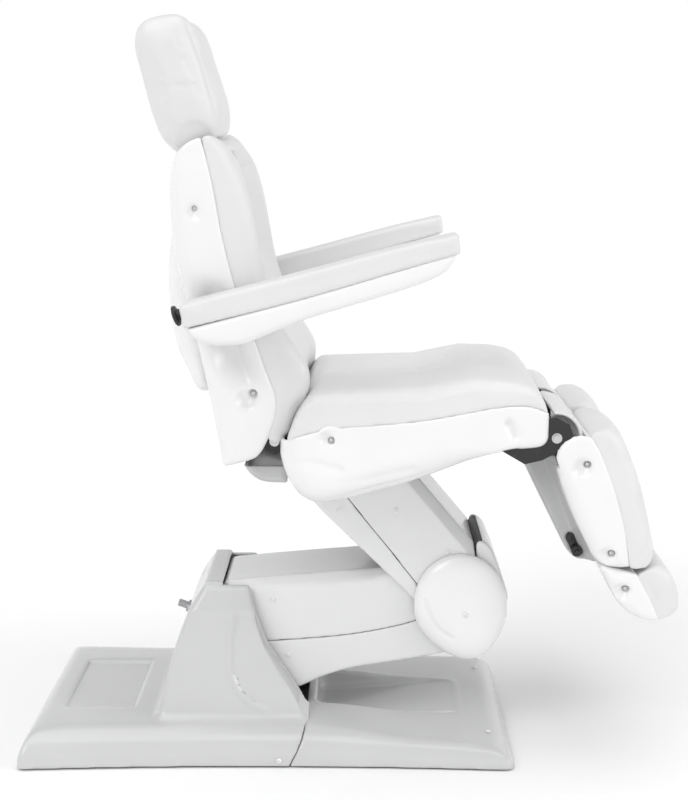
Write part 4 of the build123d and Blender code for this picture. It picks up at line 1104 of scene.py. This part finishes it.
def upper_arm():
    space = Space((15, 382), (-127, 127), (-128, 93), 3.5)
    across = np.abs(space.y)
    half_section = [(ARM_HALF, 130, 0), (ARM_HALF, -82, 0), (ARM_HALF - 21, -105, 0)]
    section = space.front(mirrored_outline(half_section))
    outline = [
        (60, 62, 0), (349, 90, 0), (378, 90, 0), (311, -105, 0), (96, -105, 0), (40, -66, 0),
        (20, -50, 0),
    ]
    outer = both(section, space.side(outline), 4.0)
    hollow = [(0, 50, 0), (349, 83, 0), (430, 83, 0), (430, -98, 0), (0, -98, 0)]
    cavity = both(section + 7.0, space.side(hollow), 0)
    solid = without(outer, cavity, 1.0)
    mouth = both(space.side([(0, -80, 0), (300, -30, 0), (300, 300, 0), (0, 300, 0)]), across - 118, 0)
    solid = without(without(solid, mouth, 2.0), space.rod((0, 0), 100.0), 2.0)
    seam = open_line([(40, 47), (101, 40), (303, 33), (420, 30)])
    region = [*seam, (700, 25), (700, -400), (-300, -400), (-300, 60)]
    ahead = line_distance(region, space.x, space.z)
    front, rear = both(solid, ahead + 0.4, 0.6), both(solid, -ahead + 0.4, 0.6)
    for name, part in (("upper_arm_front", front), ("upper_arm_rear", rear)):
        finished(carved(name, space, part, ARM), "arm_cover", "upper_arm", f"{name}_cover")
    space = Space((-55, 100), (-120, 120), (-130, -52), 3.0)
    outline = [
        (92, -106, 0), (93, -116), (84, -123), (66, -125), (36, -116), (0, -103), (-39, -85),
        (-52, -70, 0), (-30, -55, 0), (22, -56, 0),
    ]
    lid = both(space.side(outline), np.abs(space.y) - 117, 8.0)
    lid = without(lid, space.rod((0, 0), NOSE_R + 3.5), 0.5)
    lid = without(lid, space.box((84, 120), (-110, 110), (-119, -40), 2.0), 1.0)
    # A black sheet behind the elbow cover's slot: painted shade, so that the gap reads dark.
    inside = Space((80, 92), (-110, 110), (-119, -56), 2.5)
    gap_shade_sheet = inside.box((80, 90), (-109.5, 109.5), (-118.5, -56), 1.0)
    finished(carved("elbow_gap_shade", inside, gap_shade_sheet, ARM), "plastic", "upper_arm")
    finished(carved("elbow_front", space, lid, ARM), "arm_cover", "upper_arm", "elbow_front_cover")


upper_arm()


def elbow_caps():
    space = Space((136, 334), (-158, 158), (174, 406), 3.0)
    high = (space.z - 290) / 113.0
    egg = 1.0 + 0.03 * np.maximum(high, 0) - 0.20 * np.maximum(-high, 0) ** 2
    tip = 235 + 1.0 + 16.0 * np.maximum(-high, 0) ** 2
    ring = np.sqrt(((space.x - tip) / (97.0 * egg)) ** 2 + high**2)
    dome = 30.0 * np.clip(1 - ring**3.2, 0, 1) ** 0.42
    across = np.abs(space.y)
    solid = both((ring - 1) * 95.0, both(across - 125.6 - dome, 125.6 - across, 0) * 0.8, 2.5)
    arc = np.abs(np.hypot(space.x - 262, space.z - 318) - 98.0)
    turn = np.degrees(np.arctan2(space.z - 318, space.x - 262))
    stroke = np.exp(-((arc / 4.0) ** 2)) * smooth(-183, -170, turn) * smooth(-108, -122, turn)
    solid = solid + 3.2 * stroke
    recess = both(space.rod(ELBOW, 6.5), 153.0 - across, 0)
    piece = carved("elbow_domes", space, without(solid, recess, 1.5))
    return finished(piece, "shell", "upper_arm", "elbow_caps")


elbow_caps()


# ---------------------------------------------------------------- screws and small metal
def revolved(rings, centre, axis, sides=28):
    """Vertices and faces of (radius, along) rings turned round an axis, closed at both ends."""
    turn = Vector(axis).to_track_quat("Z", "Y").to_matrix()
    verts, faces = [], []
    for radius, along in rings:
        for k in range(sides):
            t = 2 * math.pi * k / sides
            point = turn @ Vector((radius * math.cos(t), radius * math.sin(t), along)) + Vector(centre)
            verts.append(tuple(point))
    for ring in range(len(rings) - 1):
        for k in range(sides):
            a, b = ring * sides + k, ring * sides + (k + 1) % sides
            faces.append((a, b, b + sides, a + sides))
    faces.append(tuple(reversed(range(sides))))
    faces.append(tuple(range((len(rings) - 1) * sides, len(rings) * sides)))
    return verts, faces


def assembled(name, parts):
    """One object from several (vertices, faces)."""
    verts, faces = [], []
    for part_verts, part_faces in parts:
        start = len(verts)
        verts += part_verts
        faces += [tuple(start + index for index in face) for face in part_faces]
    mesh = bpy.data.meshes.new(name)
    mesh.from_pydata([tuple(c * MM for c in v) for v in verts], [], faces)
    mesh.validate()
    mesh.shade_smooth()
    mesh.set_sharp_from_angle(angle=math.radians(38))
    piece = bpy.data.objects.new(name, mesh)
    bpy.context.scene.collection.objects.link(piece)
    return piece


def screw_rings(radius, height, socket):
    """A domed head with a round socket."""
    return [
        (radius, 0.0),
        (radius, height * 0.45),
        (radius * 0.93, height * 0.75),
        (radius * 0.75, height * 0.95),
        (socket, height),
        (socket, height * 0.35),
    ]


def screw_set(name, node, body, spots, radius=4.5, height=2.5, finish="steel"):
    parts = []
    for x, y, z in spots:
        for s in (-1, 1):
            parts.append(revolved(screw_rings(radius, height, radius * 0.45), (x, s * y, z), (0, s, 0)))
    finished(assembled(name, parts), finish, body, node)


COVER_SCREW = 5.0, 3.5, "shell"
screw_set("base_screw_heads", "base_screws", "base", [(-131.5, 276.4, 16.0)], *COVER_SCREW)
heads = [revolved(screw_rings(4.5, 2.5, 2.0), (292.0, s * 190.0, 44.5), (0.15, 0, 1)) for s in (-1, 1)]
finished(assembled("front_screw_heads", heads), "shell", "base")
lower_spots = [(-150.0, 112, 300.0), (-119.5, 112, 180.0)]
screw_set("lower_arm_screw_heads", "lower_arm_screws", "lower_arm", lower_spots, *COVER_SCREW)
upper_spots = [(102.5, 125, 493.0), (208.5, 125, 407.0), (-13.5, 125, 491.0), (ELBOW[0], 153.2, ELBOW[1])]
screw_set("upper_arm_screw_heads", "upper_arm_screws", "upper_arm", upper_spots, *COVER_SCREW)
for side, s in (("right", -1), ("left", 1)):
    parts, foot_parts = [], []
    for y, facing in ((LEG_OUT - 13, s), (LEG_IN + 13, -s)):
        for u, v in LEG_SCREWS:
            x, z = limb_point(u, v)
            parts.append(revolved(screw_rings(4.5, 2.5, 2.0), (x, s * y, z), (0, facing, 0)))
        x, z = limb_point(*FOOT_SCREW)
        y -= 2 * facing * s
        foot_parts.append(revolved(screw_rings(4.5, 2.5, 2.0), (x, s * y, z), (0, facing, 0)))
    finished(assembled(f"calf_screw_heads_{side}", parts), "steel", f"leg_{side}")
    finished(assembled(f"foot_screw_heads_{side}", foot_parts), "steel", f"foot_{side}")
seat_spots = [(x, 272.5, z) for x, z in SEAT_SCREWS]
back_spots = [(x, y, z) for (x, z), y in zip(BACK_SCREWS, (237.5, 228.0))]
screw_set("seat_screw_heads", "seat_screws", "seat", seat_spots, 5.0, 3.0)
screw_set("back_screw_heads", "back_screws", "backrest", back_spots, 5.0, 3.0)


def inlet():
    rings = [(8.2, -4.0), (8.2, 6.0), (13.0, 6.0), (13.0, 11.0)]
    for k in range(7):
        rings += [(7.4, 11.5 + 2.8 * k), (8.5, 12.9 + 2.8 * k)]
    rings += [(7.4, 31.0), (6.0, 32.0), (5.2, 32.0), (5.2, 20.0)]
    turn = math.radians(159)
    part = revolved(rings, (-330, 0, 247), (math.cos(turn), 0, math.sin(turn)), 32)
    finished(assembled("inlet_barrel", [part]), "steel", "base", "inlet_connector")


inlet()


def lock_knobs():
    """Round knobs with a fluted grip, on the leg rests' slide housings."""
    for side, s in (("left", 1), ("right", -1)):
        x, z = limb_point(244.0, -40.0)
        rings = [
            (9.5, 200.5), (11, 201.5), (11, 212), (9.5, 214), (4.5, 214), (4, 220), (2.5, 220.5),
        ]
        verts, faces = revolved([(r, y - 200) for r, y in rings], (x, s * 200, z), (0, s, 0), 48)
        centre = Vector((x, 0, z))
        fluted = []
        for v in verts:
            point = Vector(v)
            arm = Vector((point.x, 0, point.z)) - centre
            turn = math.atan2(arm.z, arm.x)
            share = 1 - 0.07 * (0.5 + 0.5 * math.cos(12 * turn)) * (arm.length > 9)
            fluted.append((centre.x + arm.x * share, point.y, centre.z + arm.z * share))
        piece = assembled(f"lock_knob_{side}", [(fluted, faces)])
        finished(piece, "plastic", f"rail_lock_{side}", f"rail_lock_knob_{side}")


lock_knobs()

# ---------------------------------------------------------------- carried-over CAD nodes
CARRIED = {
    "black": [
        "base_frame", "tower_frame", "lift_motor", "lower_arm_frame", "upper_arm_frame",
        "level_bracket", "tilt_motor", "seat_frame", "seat_brackets", "back_frame",
        "recline_motor", "leg_frame_left", "leg_frame_right",
    ],
    "steel": ["headrest_posts", "seat_pivot_pins", "foot_rails_left", "foot_rails_right"],
    "rubber": ["levelling_feet"],
}
for finish, names in CARRIED.items():
    for name in names:
        node = frame["nodes"][name]
        node.data.materials.clear()
        node.data.materials.append(FINISHES[finish])
        rounded = node.modifiers.new("Bevel", "BEVEL")
        rounded.width = 1.0 * MM
        rounded.segments = 2
        rounded.limit_method = "ANGLE"
        rounded.angle_limit = math.radians(40)
        node.modifiers.new("WeightedNormal", "WEIGHTED_NORMAL").keep_sharp = True


# ---------------------------------------------------------------- studio
def floor():
    mesh = bpy.data.meshes.new("Floor")
    reach = 30.0
    corners = [(-reach, -reach, 0), (reach, -reach, 0), (reach, reach, 0), (-reach, reach, 0)]
    mesh.from_pydata(corners, [], [(0, 1, 2, 3)])
    piece = bpy.data.objects.new("Floor", mesh)
    bpy.context.scene.collection.objects.link(piece)
    made = bpy.data.materials.new("FloorPaint")
    made.use_nodes = True
    shader = made.node_tree.nodes["Principled BSDF"]
    shader.inputs["Base Color"].default_value = (0.95, 0.95, 0.95, 1)
    shader.inputs["Roughness"].default_value = 0.9
    shader.inputs["Specular IOR Level"].default_value = 0.1
    mesh.materials.append(made)


def sun(name, direction, strength, softness):
    lamp = bpy.data.lights.new(name, "SUN")
    lamp.energy = strength
    lamp.angle = math.radians(softness)
    piece = bpy.data.objects.new(name, lamp)
    piece.rotation_mode = "QUATERNION"
    piece.rotation_quaternion = Vector(direction).to_track_quat("-Z", "Y")
    bpy.context.scene.collection.objects.link(piece)


def studio():
    """A bright surround, brightest low down, with three soft suns and a white floor."""
    scene = bpy.context.scene
    world = bpy.data.worlds.new("Studio")
    world.use_nodes = True
    tree = world.node_tree
    background = tree.nodes["Background"]
    where = tree.nodes.new("ShaderNodeTexCoord").outputs["Generated"]
    split = tree.nodes.new("ShaderNodeSeparateXYZ")
    ramp = tree.nodes.new("ShaderNodeMapRange")
    ramp.inputs["From Min"].default_value = 0.12
    ramp.inputs["From Max"].default_value = 0.7
    ramp.inputs["To Min"].default_value = 1.0
    ramp.inputs["To Max"].default_value = 0.26
    tree.links.new(where, split.inputs["Vector"])
    tree.links.new(split.outputs["Z"], ramp.inputs["Value"])
    tree.links.new(ramp.outputs["Result"], background.inputs["Strength"])
    background.inputs["Color"].default_value = (1, 1, 1, 1)
    scene.world = world
    scene.view_settings.view_transform = "Standard"
    sun("Key", (0.60, 0.75, -0.75), 0.8, 30)
    sun("Side", (-1.0, 0.35, -0.45), 0.7, 30)
    sun("Top", (0.05, 0.1, -1.0), 1.4, 65)
    floor()


PITCH_DOWN, YAW = 9.94, 0.6


def camera():
    lens = bpy.data.cameras.new("Camera")
    lens.lens = 69.075
    lens.sensor_fit = "AUTO"
    lens.clip_end = 90
    piece = bpy.data.objects.new("Camera", lens)
    piece.location = (0.0285, -3.168, 1.254)
    piece.rotation_euler = (math.radians(90 - PITCH_DOWN), 0, math.radians(YAW))
    bpy.context.scene.collection.objects.link(piece)
    bpy.context.scene.camera = piece


studio()
camera()
